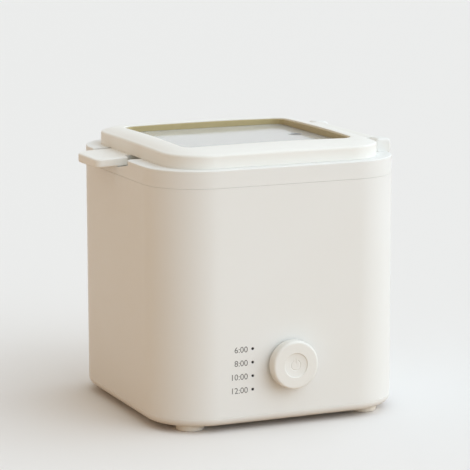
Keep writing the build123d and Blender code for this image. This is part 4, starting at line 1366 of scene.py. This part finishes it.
@dataclass
class Lid:
    """The lid: crowned ring with its hinge barrel, clear pane, gasket, retainer, seal and tab."""

    # The ring and the window in it
    outer: Outline = Outline(56.3, 59.7, 19.9)
    window: Outline = Outline(45.0, 44.0, 7.0, 0.9)
    pane: Outline = Outline(48.2, 45.7, 9.0)
    low_z: float = 128.1
    skirt_z: float = 127.92
    skirt_round: float = 0.05
    wall_top_z: float = 133.3
    shoulder_z: float = 134.9
    shoulder_inset: float = 1.5
    crown_z: float = 136.8
    crown_outset: float = 1.2
    crown_dip: float = 0.6
    crown_edge: float = 0.35
    shoulder_points: int = 9
    crown_points: int = 12

    # The pane, its vent and the khaki band round it
    pane_low_z: float = 129.5
    pane_top_z: float = 133.1
    pane_play: float = 0.4
    pane_round: float = 0.4
    pane_end: float = 6.0
    gasket_leaf: float = 1.0
    gasket_foot: float = 0.8
    gasket_top_z: float = 136.2
    gasket_round: float = 0.45
    gasket_edge: float = 0.1
    vent: tuple[float, float] = (34.0, 3.0)
    vent_radius: float = 3.3
    vent_flare: float = 0.35
    vent_reach: float = 1.0

    # The hinge
    hinge: tuple[float, float] = HINGE
    barrel_radius: float = 3.2
    barrel_half_length: float = 31.4
    barrel_root: float = 5.0
    barrel_round: float = 0.4
    barrel_end: float = 2.0
    pin_radius: float = PIN_RADIUS

    # The retainer under the pane and the seal under that
    retainer: Outline = Outline(49.3, 49.3, 12.8)
    retainer_low_z: float = 125.9
    retainer_round: float = 0.5
    retainer_mouth_round: float = 0.8
    seal: Outline = Outline(49.0, 49.0, 12.5)
    seal_width: float = 2.5
    seal_low_z: float = 123.7
    seal_round: float = 1.1

    # The lifting tab
    tab_outer_x: float = -76.2
    tab_inner_x: float = -49.6
    tab_y: tuple[float, float] = (-3.2, 28.6)
    tab_thickness: float = 4.4
    tab_drop: float = 1.0
    tab_corners: tuple[float, float] = (3.5, 8.0)
    tab_round: float = 0.9
    tab_end: float = 2.6
    tab_steps: int = 12
    tab_shoulder_x: float = -59.6
    tab_root_y: float = 1.2
    tab_root_round: float = 0.9

    def build(self) -> None:
        """Builds and dresses every piece of the lid."""
        self.ring()
        self.glass()
        self.gasket()
        self.retainer_plate()
        self.seal_ring()
        self.tab()

    def crown_section(self) -> Section:
        """Gives the outlines between the ring's outer wall and its window.

        Near the wall and near the window the outlines are true offsets, so that the edge
        rounds keep their width all round. The crown between them changes evenly.
        """
        across = self.outer.half_x - self.window.half_x
        return Section(
            (
                (0.0, self.outer),
                (self.shoulder_inset, self.outer.grown(-self.shoulder_inset)),
                (across - self.crown_outset, self.window.grown(self.crown_outset)),
                (across, self.window),
            )
        )

    def dipped(self, rings: np.ndarray) -> np.ndarray:
        """Lowers the crown towards its four corners, as on a shallow dome.

        The dip is the full one times the squares of x and y over the window's half sizes,
        and it fades to nothing down to the top of the ring's wall.

        Args:
            rings: Points of the ring or of the band.

        Returns:
            The lowered points.
        """
        across, over = rings[..., 0] / self.window.half_x, rings[..., 1] / self.window.half_y
        fade = np.clip((rings[..., 2] - self.wall_top_z) / (self.crown_z - self.wall_top_z), 0.0, 1.0)
        dip = self.crown_dip * np.minimum(across**2 * over**2, 1.0) * fade
        lowered = rings.copy()
        lowered[..., 2] -= dip
        return lowered

    def ring(self) -> None:
        """Builds the crowned ring and joins the hinge barrel to its right side.

        The shoulder is a quarter ellipse from the wall's top to the crown, and the crown is
        part of a parabola that is steepest at the shoulder.
        """
        across = self.outer.half_x - self.window.half_x
        pocket = across - (self.pane.half_x + self.pane_play - self.window.half_x)
        pocket_top = self.pane_top_z + self.gasket_foot
        turn = np.linspace(0.0, 0.5 * math.pi, self.shoulder_points)
        shoulder = np.stack(
            [
                self.shoulder_inset * (1.0 - np.cos(turn)),
                self.wall_top_z + (self.shoulder_z - self.wall_top_z) * np.sin(turn),
            ],
            axis=1,
        )
        share = np.linspace(0.0, 1.0, self.crown_points)[1:]
        crown = np.stack(
            [
                self.shoulder_inset + (across - self.crown_outset - self.shoulder_inset) * share,
                self.shoulder_z + (self.crown_z - self.shoulder_z) * (1.0 - (1.0 - share) ** 2),
            ],
            axis=1,
        )
        inner = rounded_profile(
            [
                Bend(across - self.crown_outset, self.crown_z),
                Bend(across, self.crown_z, self.crown_edge),
                Bend(across, pocket_top, self.gasket_edge),
                Bend(pocket, pocket_top),
                Bend(pocket, self.skirt_z, FINE_ROUND),
                Bend(0.0, self.skirt_z, self.skirt_round),
                Bend(0.0, self.wall_top_z),
            ],
            closed=False,
        )
        profile = np.concatenate([shoulder, crown, inner[1:-1]])
        rings = self.dipped(self.crown_section().rings(profile, FINE))
        piece = as_object(mesh_of_rings("lid_ring", rings, closed_profile=True))
        carve(piece, self.barrel(), Carve.JOIN)
        reach = self.barrel_half_length + 1.0
        centre = (self.hinge[0], 0.0, self.hinge[1])
        carve(piece, rod("bore", self.pin_radius, (-reach, reach), Facing.BACK, centre), Carve.CUT)
        finish_piece(piece, Body.LID, "lid_plastic", ("lid_frame",))

    def barrel(self) -> bpy.types.Mesh:
        """Makes the hinge barrel with the web that joins it to the ring."""
        web = (self.hinge[0] - self.outer.half_x + self.barrel_root) / 2.0
        outline = Outline(web + self.barrel_radius / 2.0, self.barrel_radius, self.barrel_radius - 0.01)
        centre_x = self.hinge[0] + self.barrel_radius - outline.half_x
        length = 2.0 * self.barrel_half_length
        profile = slab_profile(0.0, length, self.barrel_round, self.barrel_end)
        rings = offsets_of(outline, self.barrel_end).rings(profile, SMALL)
        placed = turned(rings, Facing.BACK, (centre_x, -self.barrel_half_length, self.hinge[1]))
        return mesh_of_rings("barrel", placed, closed_profile=False)

    def glass(self) -> None:
        """Builds the pane with polished edges and cuts the steam vent."""
        profile = slab_profile(self.pane_low_z, self.pane_top_z, self.pane_round, self.pane_end)
        rings = offsets_of(self.pane, self.pane_end).rings(profile, FINE)
        piece = as_object(mesh_of_rings("window_pane", rings, closed_profile=False))
        span = (self.pane_low_z, self.pane_top_z)
        vent = flared_rod("vent", self.vent_radius, span, self.vent_flare, self.vent_reach, self.vent)
        carve(piece, vent, Carve.CUT)
        finish_piece(piece, Body.LID, "window_glass", ("lid_window",))

    def gasket(self) -> None:
        """Builds the silicone band: a leaf up the window's side and a foot on the pane."""
        foot_reach = self.pane.half_x - self.window.half_x
        top = self.gasket_top_z
        profile = rounded_profile(
            [
                Bend(self.gasket_leaf, self.pane_top_z, self.gasket_edge),
                Bend(self.gasket_leaf, top, self.gasket_round),
                Bend(0.0, top, self.gasket_round),
                Bend(0.0, self.pane_top_z + self.gasket_foot),
                Bend(-foot_reach, self.pane_top_z + self.gasket_foot, self.gasket_edge),
                Bend(-foot_reach, self.pane_top_z, self.gasket_edge),
            ],
            closed=True,
        )
        inner = self.window.grown(-self.gasket_leaf)
        section = Section(((-foot_reach, self.pane), (0.0, self.window), (self.gasket_leaf, inner)))
        rings = self.dipped(section.rings(profile, FINE))
        piece = as_object(mesh_of_rings("window_band", rings, closed_profile=True))
        finish_piece(piece, Body.LID, "gasket_silicone", ("window_gasket",))

    def retainer_plate(self) -> None:
        """Builds the plate that holds the pane up from below."""
        rim = self.retainer.half_x - self.pane.half_x
        inner = self.retainer.half_x - self.window.half_x + self.gasket_leaf
        profile = rounded_profile(
            [
                Bend(0.0, self.retainer_low_z, self.retainer_round),
                Bend(0.0, self.low_z, FINE_ROUND),
                Bend(rim, self.low_z),
                Bend(rim, self.pane_low_z, FINE_ROUND),
                Bend(inner, self.pane_low_z, SLIGHT_ROUND),
                Bend(inner, self.retainer_low_z, self.retainer_mouth_round),
            ],
            closed=True,
        )
        section = Section(
            ((0.0, self.retainer), (rim, self.pane), (inner, self.window.grown(-self.gasket_leaf)))
        )
        rings = section.rings(profile, FINE)
        piece = as_object(mesh_of_rings("pane_retainer", rings, closed_profile=True))
        finish_piece(piece, Body.LID, "lid_plastic", ("lid_retainer",))

    def seal_ring(self) -> None:
        """Builds the soft seal with a round nose that meets the chamber's flange."""
        profile = rounded_profile(
            [
                Bend(0.0, self.retainer_low_z),
                Bend(0.0, self.seal_low_z, self.seal_round),
                Bend(self.seal_width, self.seal_low_z, self.seal_round),
                Bend(self.seal_width, self.retainer_low_z),
            ],
            closed=True,
        )
        rings = offsets_of(self.seal, self.seal_width).rings(profile, FINE)
        piece = as_object(mesh_of_rings("soft_seal", rings, closed_profile=True))
        finish_piece(piece, Body.LID, "seal_silicone", ("lid_seal",))

    def tab(self) -> None:
        """Builds the lifting tab as a rounded slab that drops a little towards its end.

        In plan it is a rectangle with a small round at the front outer corner and a larger
        one at the back. The profile up its side is carried round that plan, and the whole
        slab is sheared down from its root to its end.
        """
        front, back = self.tab_corners
        plan = rounded_profile(
            [
                Bend(self.tab_inner_x, self.tab_y[0]),
                Bend(self.tab_outer_x, self.tab_y[0], front),
                Bend(self.tab_outer_x, self.tab_y[1], back),
                Bend(self.tab_inner_x, self.tab_y[1]),
            ],
            closed=True,
            steps=self.tab_steps,
        )
        low, high = self.low_z - self.tab_thickness, self.low_z
        side = slab_profile(low, high, self.tab_round, self.tab_end)
        corners = np.array([[self.tab_inner_x, self.tab_y[0]], [self.tab_outer_x, self.tab_y[1]]])
        lowest, highest = corners.min(axis=0), corners.max(axis=0)
        middle, half = (lowest + highest) / 2.0, (highest - lowest) / 2.0
        shrink = 1.0 - side[:, 0, None, None] / half[None, None, :]
        rings = middle + (plan[None, :, :] - middle) * shrink
        drop = self.tab_drop * np.clip(
            (-self.outer.half_x - rings[..., 0]) / (-self.outer.half_x - self.tab_outer_x), 0.0, 1.0
        )
        heights = side[:, 1, None] - drop
        points = np.concatenate([rings, heights[..., None]], axis=2)
        piece = as_object(mesh_of_rings("tab_slab", points, closed_profile=False))
        carve(piece, self.tab_step(), Carve.CUT)
        finish_piece(piece, Body.LID, "lid_plastic", ("lifting_tab",))

    def tab_step(self) -> bpy.types.Mesh:
        """Makes the block that narrows the tab's root at its front."""
        reach = 4.0
        low_y, inner_x = self.tab_y[0] - reach, self.tab_inner_x + reach
        half_x, half_y = (inner_x - self.tab_shoulder_x) / 2.0, (self.tab_root_y - low_y) / 2.0
        centre = (inner_x - half_x, low_y + half_y, self.low_z)
        span = (-2.0 * self.tab_thickness, self.tab_thickness)
        return block("step", Outline(half_x, half_y, self.tab_root_round), span, Facing.UP, centre)


def eased(share: np.ndarray) -> np.ndarray:
    """Eases shares between zero and one: three times the square less twice the cube."""
    return share * share * (3.0 - 2.0 * share)


@dataclass
class Controls:
    """The knob with its dish and engraved power sign, and the printed numbers."""

    knob_z: float = KNOB_Z
    radius: float = 11.9
    face_y: float = -72.1
    back_y: float = -66.4
    edge_round: float = 1.2
    back_round: float = 0.5
    hub_radius: float = 5.0
    hub_back_y: float = -65.4
    dish_radius: float = 5.7
    dish_depth: float = 0.9
    lip_width: float = 0.5
    lip_drop: float = 0.42
    lip_points: int = 9
    dish_points: int = 72
    sign_radius: float = 2.5
    sign_stroke: float = 0.42
    sign_depth: float = 0.16
    sign_gap: float = math.radians(32.0)
    sign_bar: tuple[float, float] = (0.35, 1.2)
    columns: int = 256
    wall_y: float = -65.0
    lamp_low_z: float = LAMP_LOW_Z
    lamp_pitch: float = LAMP_PITCH
    print_right_x: float = -22.5
    print_height: float = 2.9
    print_film: float = 0.02
    print_steps: int = 4
    print_texts: tuple[str, ...] = ("12:00", "10:00", "8:00", "6:00")

    def build(self) -> None:
        """Builds the knob and the print."""
        self.knob()
        for step, text in enumerate(self.print_texts):
            self.number(text, step)

    def power_sign(self, across: np.ndarray, up: np.ndarray) -> np.ndarray:
        """Gives the depth of the engraved power sign at points of the dish.

        The sign is a ring that is open at its top and a bar through the opening. The depth
        falls off smoothly with the distance to the nearest stroke.

        Args:
            across: Sideways distances from the knob's centre.
            up: Heights from the knob's centre.

        Returns:
            Depths in millimetres.
        """
        distance = np.hypot(across, up)
        angle = np.abs(np.arctan2(across, up))
        end_x = self.sign_radius * math.sin(self.sign_gap)
        end_z = self.sign_radius * math.cos(self.sign_gap)
        to_end = np.hypot(np.abs(across) - end_x, up - end_z)
        to_ring = np.where(angle > self.sign_gap, np.abs(distance - self.sign_radius), to_end)
        bar_low, bar_high = (share * self.sign_radius for share in self.sign_bar)
        to_bar = np.hypot(across, up - np.clip(up, bar_low, bar_high))
        nearest = np.minimum(to_ring, to_bar)
        share = np.clip(1.5 - nearest / (self.sign_stroke / 2.0), 0.0, 1.0)
        return self.sign_depth * eased(share)

    def knob(self) -> None:
        """Builds the knob as a turned profile, with the sign pressed into its dish.

        The dish starts with a short steep lip. Inside it the depth at a radius r grows from
        the lip's drop by one minus the square of r over the dish's radius.
        """
        back = rounded_profile(
            [
                Bend(0.0, self.hub_back_y),
                Bend(self.hub_radius, self.hub_back_y, SLIGHT_ROUND),
                Bend(self.hub_radius, self.back_y, SLIGHT_ROUND),
                Bend(self.radius, self.back_y, self.back_round),
                Bend(self.radius, self.face_y, self.edge_round),
                Bend(self.dish_radius + self.lip_width, self.face_y),
            ],
            closed=False,
        )
        radii = np.linspace(self.dish_radius, 0.0, self.dish_points)
        fall = (self.dish_depth - self.lip_drop) * (1.0 - (radii / self.dish_radius) ** 2)
        bowl = self.face_y + self.lip_drop + fall
        lip_share = np.linspace(0.0, 1.0, self.lip_points)[1:-1]
        lip_radii = self.dish_radius + self.lip_width * (1.0 - lip_share)
        lip = self.face_y + self.lip_drop * eased(lip_share)
        front = [np.stack([lip_radii, lip], axis=1), np.stack([radii, bowl], axis=1)]
        profile = np.concatenate([back, *front])
        turn = np.linspace(0.0, math.tau, self.columns, endpoint=False)
        across = np.outer(profile[:, 0], np.cos(turn))
        up = np.outer(profile[:, 0], np.sin(turn))
        depth = np.repeat(profile[:, 1:2], self.columns, axis=1)
        depth[len(back) :] += self.power_sign(across[len(back) :], up[len(back) :])
        points = np.stack([across, depth, up + self.knob_z], axis=2)
        piece = as_object(mesh_of_rings("turning_knob", points, closed_profile=False))
        finish_piece(piece, Body.DIAL, "knob_plastic", ("knob",))

    def number(self, text: str, step: int) -> None:
        """Prints one number beside its lamp window.

        Args:
            text: The number.
            step: Which lamp it belongs to, counted from the lowest.
        """
        curve = bpy.data.curves.new("print", "FONT")
        curve.body = text
        curve.resolution_u = self.print_steps
        writer = bpy.data.objects.new("print", curve)
        bpy.context.scene.collection.objects.link(writer)
        bpy.context.view_layer.update()
        evaluated = writer.evaluated_get(bpy.context.evaluated_depsgraph_get())
        mesh = bpy.data.meshes.new_from_object(evaluated)
        bpy.data.objects.remove(writer)
        flat = np.zeros(len(mesh.vertices) * 3)
        mesh.vertices.foreach_get("co", flat)
        flat = flat.reshape(-1, 3)
        low, high = flat.min(axis=0), flat.max(axis=0)
        scale = self.print_height / (high[1] - low[1])
        middle_z = self.lamp_low_z + self.lamp_pitch * step
        x = self.print_right_x - (high[0] - flat[:, 0]) * scale
        z = middle_z + (flat[:, 1] - (low[1] + high[1]) / 2.0) * scale
        y = np.full(len(flat), self.wall_y - self.print_film)
        placed = np.stack([x, y, z], axis=1) * MILLIMETRE
        mesh.vertices.foreach_set("co", placed.ravel())
        mesh.name = f"printed_number_{step + 1}"
        piece = as_object(mesh)
        solid = piece.modifiers.new("film", "SOLIDIFY")
        solid.thickness = self.print_film * MILLIMETRE
        solid.offset = -1.0
        apply_modifiers(piece)
        finish_piece(piece, Body.HOUSING, "inner_plastic", (), INK)


@dataclass
class Chamber:
    """The drawn steam chamber and the egg rack that stands in it."""

    flange: Outline = Outline(54.0, 54.0, 17.5)
    inner: Outline = Outline(47.0, 47.0, 12.0)
    wall: float = 1.2
    flange_z: float = 122.2
    seat_z: float = 123.4
    low_z: float = 20.8
    floor_z: float = 22.0
    floor_fillet: float = 4.0
    plate_hole: float = 32.0
    flange_round: float = 0.8
    flange_bend: float = 0.4
    rack: Outline = Outline(45.5, 45.5, 11.0)
    rack_low_z: float = 44.0
    rack_top_z: float = 46.0
    rack_round: float = 0.7
    rack_end: float = 6.0
    hole_reach: float = 2.0
    egg_offset: float = 22.0
    egg_hole: float = 17.0
    steam_hole: float = 4.0
    leg_offset: float = 39.5
    leg_radius: float = 2.5
    leg_round: float = 0.6
    leg_sunk: float = 0.5
    grip_x: float = 43.0
    grip_half_y: float = 8.0
    grip_thickness: float = 2.0
    grip_top_z: float = 56.0
    grip_sunk: float = 1.0
    grip_round: float = 0.6
    grip_end: float = 1.5

    def build(self) -> None:
        """Builds the chamber and the rack."""
        self.pot()
        self.egg_rack()

    def pot(self) -> None:
        """Builds the drawn pot from the profile of its sheet.

        The floor's outlines change evenly from the square wall to the round plate hole.
        """
        flange_out = self.flange.half_x - self.inner.half_x
        to_hole = self.inner.half_x - self.plate_hole
        wall = self.wall
        profile = rounded_profile(
            [
                Bend(-flange_out, self.flange_z, FINE_ROUND),
                Bend(-flange_out, self.seat_z, FINE_ROUND),
                Bend(0.0, self.seat_z, self.flange_round),
                Bend(0.0, self.floor_z, self.floor_fillet),
                Bend(to_hole, self.floor_z, FINE_ROUND),
                Bend(to_hole, self.low_z, FINE_ROUND),
                Bend(-wall, self.low_z, self.floor_fillet + wall),
                Bend(-wall, self.flange_z, self.flange_bend),
            ],
            closed=True,
            steps=8,
        )
        section = Section(
            (
                (-flange_out, self.flange),
                (-wall, self.inner.grown(wall)),
                (0.0, self.inner),
                (self.floor_fillet, self.inner.grown(-self.floor_fillet)),
                (to_hole, circle(self.plate_hole)),
            )
        )
        piece = as_object(mesh_of_rings("steam_pot", section.rings(profile, FINE), closed_profile=True))
        finish_piece(piece, Body.HOUSING, "chamber_steel", ("steam_chamber",))

    def hole_cutter(self, radius: float, x: float, y: float) -> bpy.types.Mesh:
        """Makes the rod that cuts a round hole with rounded rims through the rack's plate."""
        span = (self.rack_low_z, self.rack_top_z)
        return flared_rod("rack_hole", radius, span, self.rack_round, self.hole_reach, (x, y))

    def egg_rack(self) -> None:
        """Builds the rack's plate, cuts its holes and joins its legs and grips."""
        profile = slab_profile(self.rack_low_z, self.rack_top_z, self.rack_round, self.rack_end)
        rings = offsets_of(self.rack, self.rack_end).rings(profile, FINE)
        piece = as_object(mesh_of_rings("egg_tray_rack", rings, closed_profile=False))
        for x in (-self.egg_offset, self.egg_offset):
            for y in (-self.egg_offset, self.egg_offset):
                carve(piece, self.hole_cutter(self.egg_hole, x, y), Carve.CUT)
        carve(piece, self.hole_cutter(self.steam_hole, 0.0, 0.0), Carve.CUT)
        for x, y in ((1, 0), (-1, 0), (0, 1), (0, -1)):
            carve(piece, self.leg(x * self.leg_offset, y * self.leg_offset), Carve.JOIN)
        for side in (-1, 1):
            carve(piece, self.grip(side), Carve.JOIN)
        finish_piece(piece, Body.EGG_TRAY, "rack_plastic", ("egg_rack",))

    def leg(self, x: float, y: float) -> bpy.types.Mesh:
        """Makes one leg of the rack, with a rounded sole."""
        reach, top_z = self.leg_radius - END_FLAT, self.rack_low_z + self.leg_sunk
        profile = rounded_profile(
            [
                Bend(reach, self.floor_z),
                Bend(0.0, self.floor_z, self.leg_round),
                Bend(0.0, top_z),
                Bend(reach, top_z),
            ],
            closed=False,
        )
        rings = offsets_of(circle(self.leg_radius), reach).rings(profile, SMALL)
        return mesh_of_rings("leg", turned(rings, Facing.UP, (x, y, 0.0)), closed_profile=False)

    def grip(self, side: int) -> bpy.types.Mesh:
        """Makes one upright grip of the rack, round at its top corners."""
        half_z = (self.grip_top_z - self.rack_low_z - self.grip_sunk) / 2.0
        half_x = self.grip_thickness / 2.0
        outline = Outline(self.grip_half_y, half_z, self.grip_half_y / 2.0)
        profile = slab_profile(-half_x, half_x, self.grip_round, self.grip_end)
        rings = offsets_of(outline, self.grip_end).rings(profile, SMALL)
        centre = (side * self.grip_x, 0.0, self.grip_top_z - half_z)
        return mesh_of_rings("grip", turned(rings, Facing.RIGHT, centre), closed_profile=False)


@dataclass
class Inlet:
    """The mains inlet in the back wall: flange, deep recess and the body behind it."""

    height_z: float = 20.0
    face_y: float = 66.5
    wall_y: float = 65.0
    back_y: float = 49.5
    flange: Outline = Outline(13.5, 8.0, 3.0)
    body: Outline = Outline(11.2, 6.2, 0.6)
    recess: Outline = Outline(9.3, 4.8, 4.7)
    recess_depth: float = 13.0
    rim_round: float = 0.5

    def build(self) -> None:
        """Builds the inlet as one skin from the recess's floor round to the body's back.

        The profile's sideways distance is a running number along the key outlines: recess,
        flange and body.
        """
        inside, rim, behind = 0.0, 4.0, 6.0
        bends = [
            Bend(inside, self.face_y - self.recess_depth),
            Bend(inside, self.face_y, self.rim_round),
            Bend(rim, self.face_y, self.rim_round),
            Bend(rim, self.wall_y),
            Bend(behind, self.wall_y),
            Bend(behind, self.back_y),
        ]
        section = Section(((inside, self.recess), (rim, self.flange), (behind, self.body)))
        rings = section.rings(rounded_profile(bends, closed=False), SMALL)
        placed = turned(rings, Facing.BACK, (0.0, 0.0, self.height_z))
        piece = as_object(mesh_of_rings("inlet_socket", placed, closed_profile=False))
        finish_piece(piece, Body.HOUSING, "inlet_plastic", ("power_inlet",))


# Stage


@dataclass
class Stage:
    """Floor, light and camera of the picture, with places and the floor's size in metres.

    Attributes:
        floor_half: Half of the floor's width.
        camera_place: Where the camera stands.
        camera_turn: How it is turned about X, Y and Z, in degrees.
        lens: Its focal length in millimetres.
        sensor: Width of its sensor in millimetres.
        clip: Distances of the nearest and the farthest thing that it shows.
        background: Colour behind everything, as sRGB hex.
        key_strength: Strength of the key light.
        key_width: Width of the key light as the object sees it, in degrees.
        key_colour: Linear red, green and blue of the key light.
        key_turn: How the key light is turned about X, Y and Z, in degrees.
        bright_side: The direction that the dome is brightest in.
        dome: Linear red, green and blue of the dome, from the side away from the bright one
            up to it, in even steps of how far a direction points to the bright side.
    """

    floor_half: float = 12.0
    camera_place: tuple[float, float, float] = (-0.4646, -1.0723, 0.2914)
    camera_turn: tuple[float, float, float] = (79.928, 0.158, -23.416)
    lens: float = 179.83
    sensor: float = 36.0
    clip: tuple[float, float] = (0.05, 60.0)
    background: str = "#ECECEB"
    key_strength: float = 0.56
    key_width: float = 45.0
    key_colour: tuple[float, float, float] = (0.76, 0.88, 1.0)
    key_turn: tuple[float, float, float] = (51.8, 0.0, 23.2)
    bright_side: tuple[float, float, float] = (0.943, -0.315, 0.105)
    dome: tuple[tuple[float, float, float], ...] = (
        (0.77, 0.57, 0.43),
        (0.64, 0.53, 0.40),
        (0.66, 0.70, 0.69),
        (1.10, 1.25, 1.46),
        (2.15, 2.33, 2.45),
    )

    def build(self) -> None:
        """Sets up floor, world, lamps and camera."""
        self.floor()
        self.world()
        self.lamps()
        self.camera()

    def floor(self) -> None:
        """Lays the paper that the object stands on."""
        corners = np.array([[-1, -1], [1, -1], [1, 1], [-1, 1]], float) * self.floor_half
        points = np.concatenate([corners, np.zeros((4, 1))], axis=1)
        mesh = bpy.data.meshes.new("studio_floor")
        mesh.from_pydata(points.tolist(), [], [[0, 1, 2, 3]])
        piece = as_object(mesh)
        mesh.materials.append(FLOOR.material())

    def world(self) -> None:
        """Makes the soft dome of light and the pale background that the camera sees.

        The dome's colour depends on how far a direction points to the bright side, which is
        the product of the two directions: bright and cool on the right, weaker and warm on
        the left.
        """
        world = bpy.data.worlds.new("studio_dome")
        bpy.context.scene.world = world
        world.use_nodes = True
        tree = world.node_tree
        tree.nodes.clear()
        direction = add_node(tree, "ShaderNodeTexCoord").outputs["Generated"]
        towards = add_node(
            tree, "ShaderNodeVectorMath", {0: direction, 1: self.bright_side}, operation="DOT_PRODUCT"
        ).outputs["Value"]
        share = add_node(
            tree, "ShaderNodeMapRange", {"Value": towards, "From Min": -1.0, "From Max": 1.0}
        ).outputs["Result"]
        ramp = add_node(tree, "ShaderNodeValToRGB", {"Fac": share})
        stops = ramp.color_ramp.elements
        stops[0].color = (*self.dome[0], 1.0)
        stops[1].color = (*self.dome[-1], 1.0)
        for step, colour in enumerate(self.dome[1:-1], start=1):
            stops.new(step / (len(self.dome) - 1)).color = (*colour, 1.0)
        colours = (ramp.outputs["Color"], linear(self.background))
        dome, plain = (
            add_node(tree, "ShaderNodeBackground", {"Color": colour, "Strength": 1.0}).outputs[0]
            for colour in colours
        )
        both = add_node(tree, "ShaderNodeMixShader", {0: seen_rays(tree), 1: dome, 2: plain}).outputs[0]
        add_node(tree, "ShaderNodeOutputWorld", {"Surface": both})

    def lamps(self) -> None:
        """Hangs one broad, soft key light up on the front right."""
        light = bpy.data.lights.new("key", "SUN")
        light.energy = self.key_strength
        light.angle = math.radians(self.key_width)
        light.color = self.key_colour
        key = bpy.data.objects.new("key", light)
        bpy.context.scene.collection.objects.link(key)
        key.rotation_euler = [math.radians(angle) for angle in self.key_turn]

    def camera(self) -> None:
        """Places the camera where the photograph was taken from."""
        data = bpy.data.cameras.new("photo_camera")
        data.lens = self.lens
        data.sensor_width = self.sensor
        data.clip_start, data.clip_end = self.clip
        camera = bpy.data.objects.new("photo_camera", data)
        bpy.context.scene.collection.objects.link(camera)
        camera.location = self.camera_place
        camera.rotation_euler = [math.radians(angle) for angle in self.camera_turn]
        bpy.context.scene.camera = camera


def main() -> None:
    """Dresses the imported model, builds every sub-assembly and sets the stage."""
    logging.basicConfig(level=logging.INFO, format="%(name)s: %(message)s")
    bpy.context.scene.view_settings.view_transform = "Standard"
    dress_cad_nodes()
    for assembly in (Casing(), Chamber(), Lid(), Controls(), Inlet()):
        assembly.build()
    Stage().build()


if __name__ == "__main__":
    main()
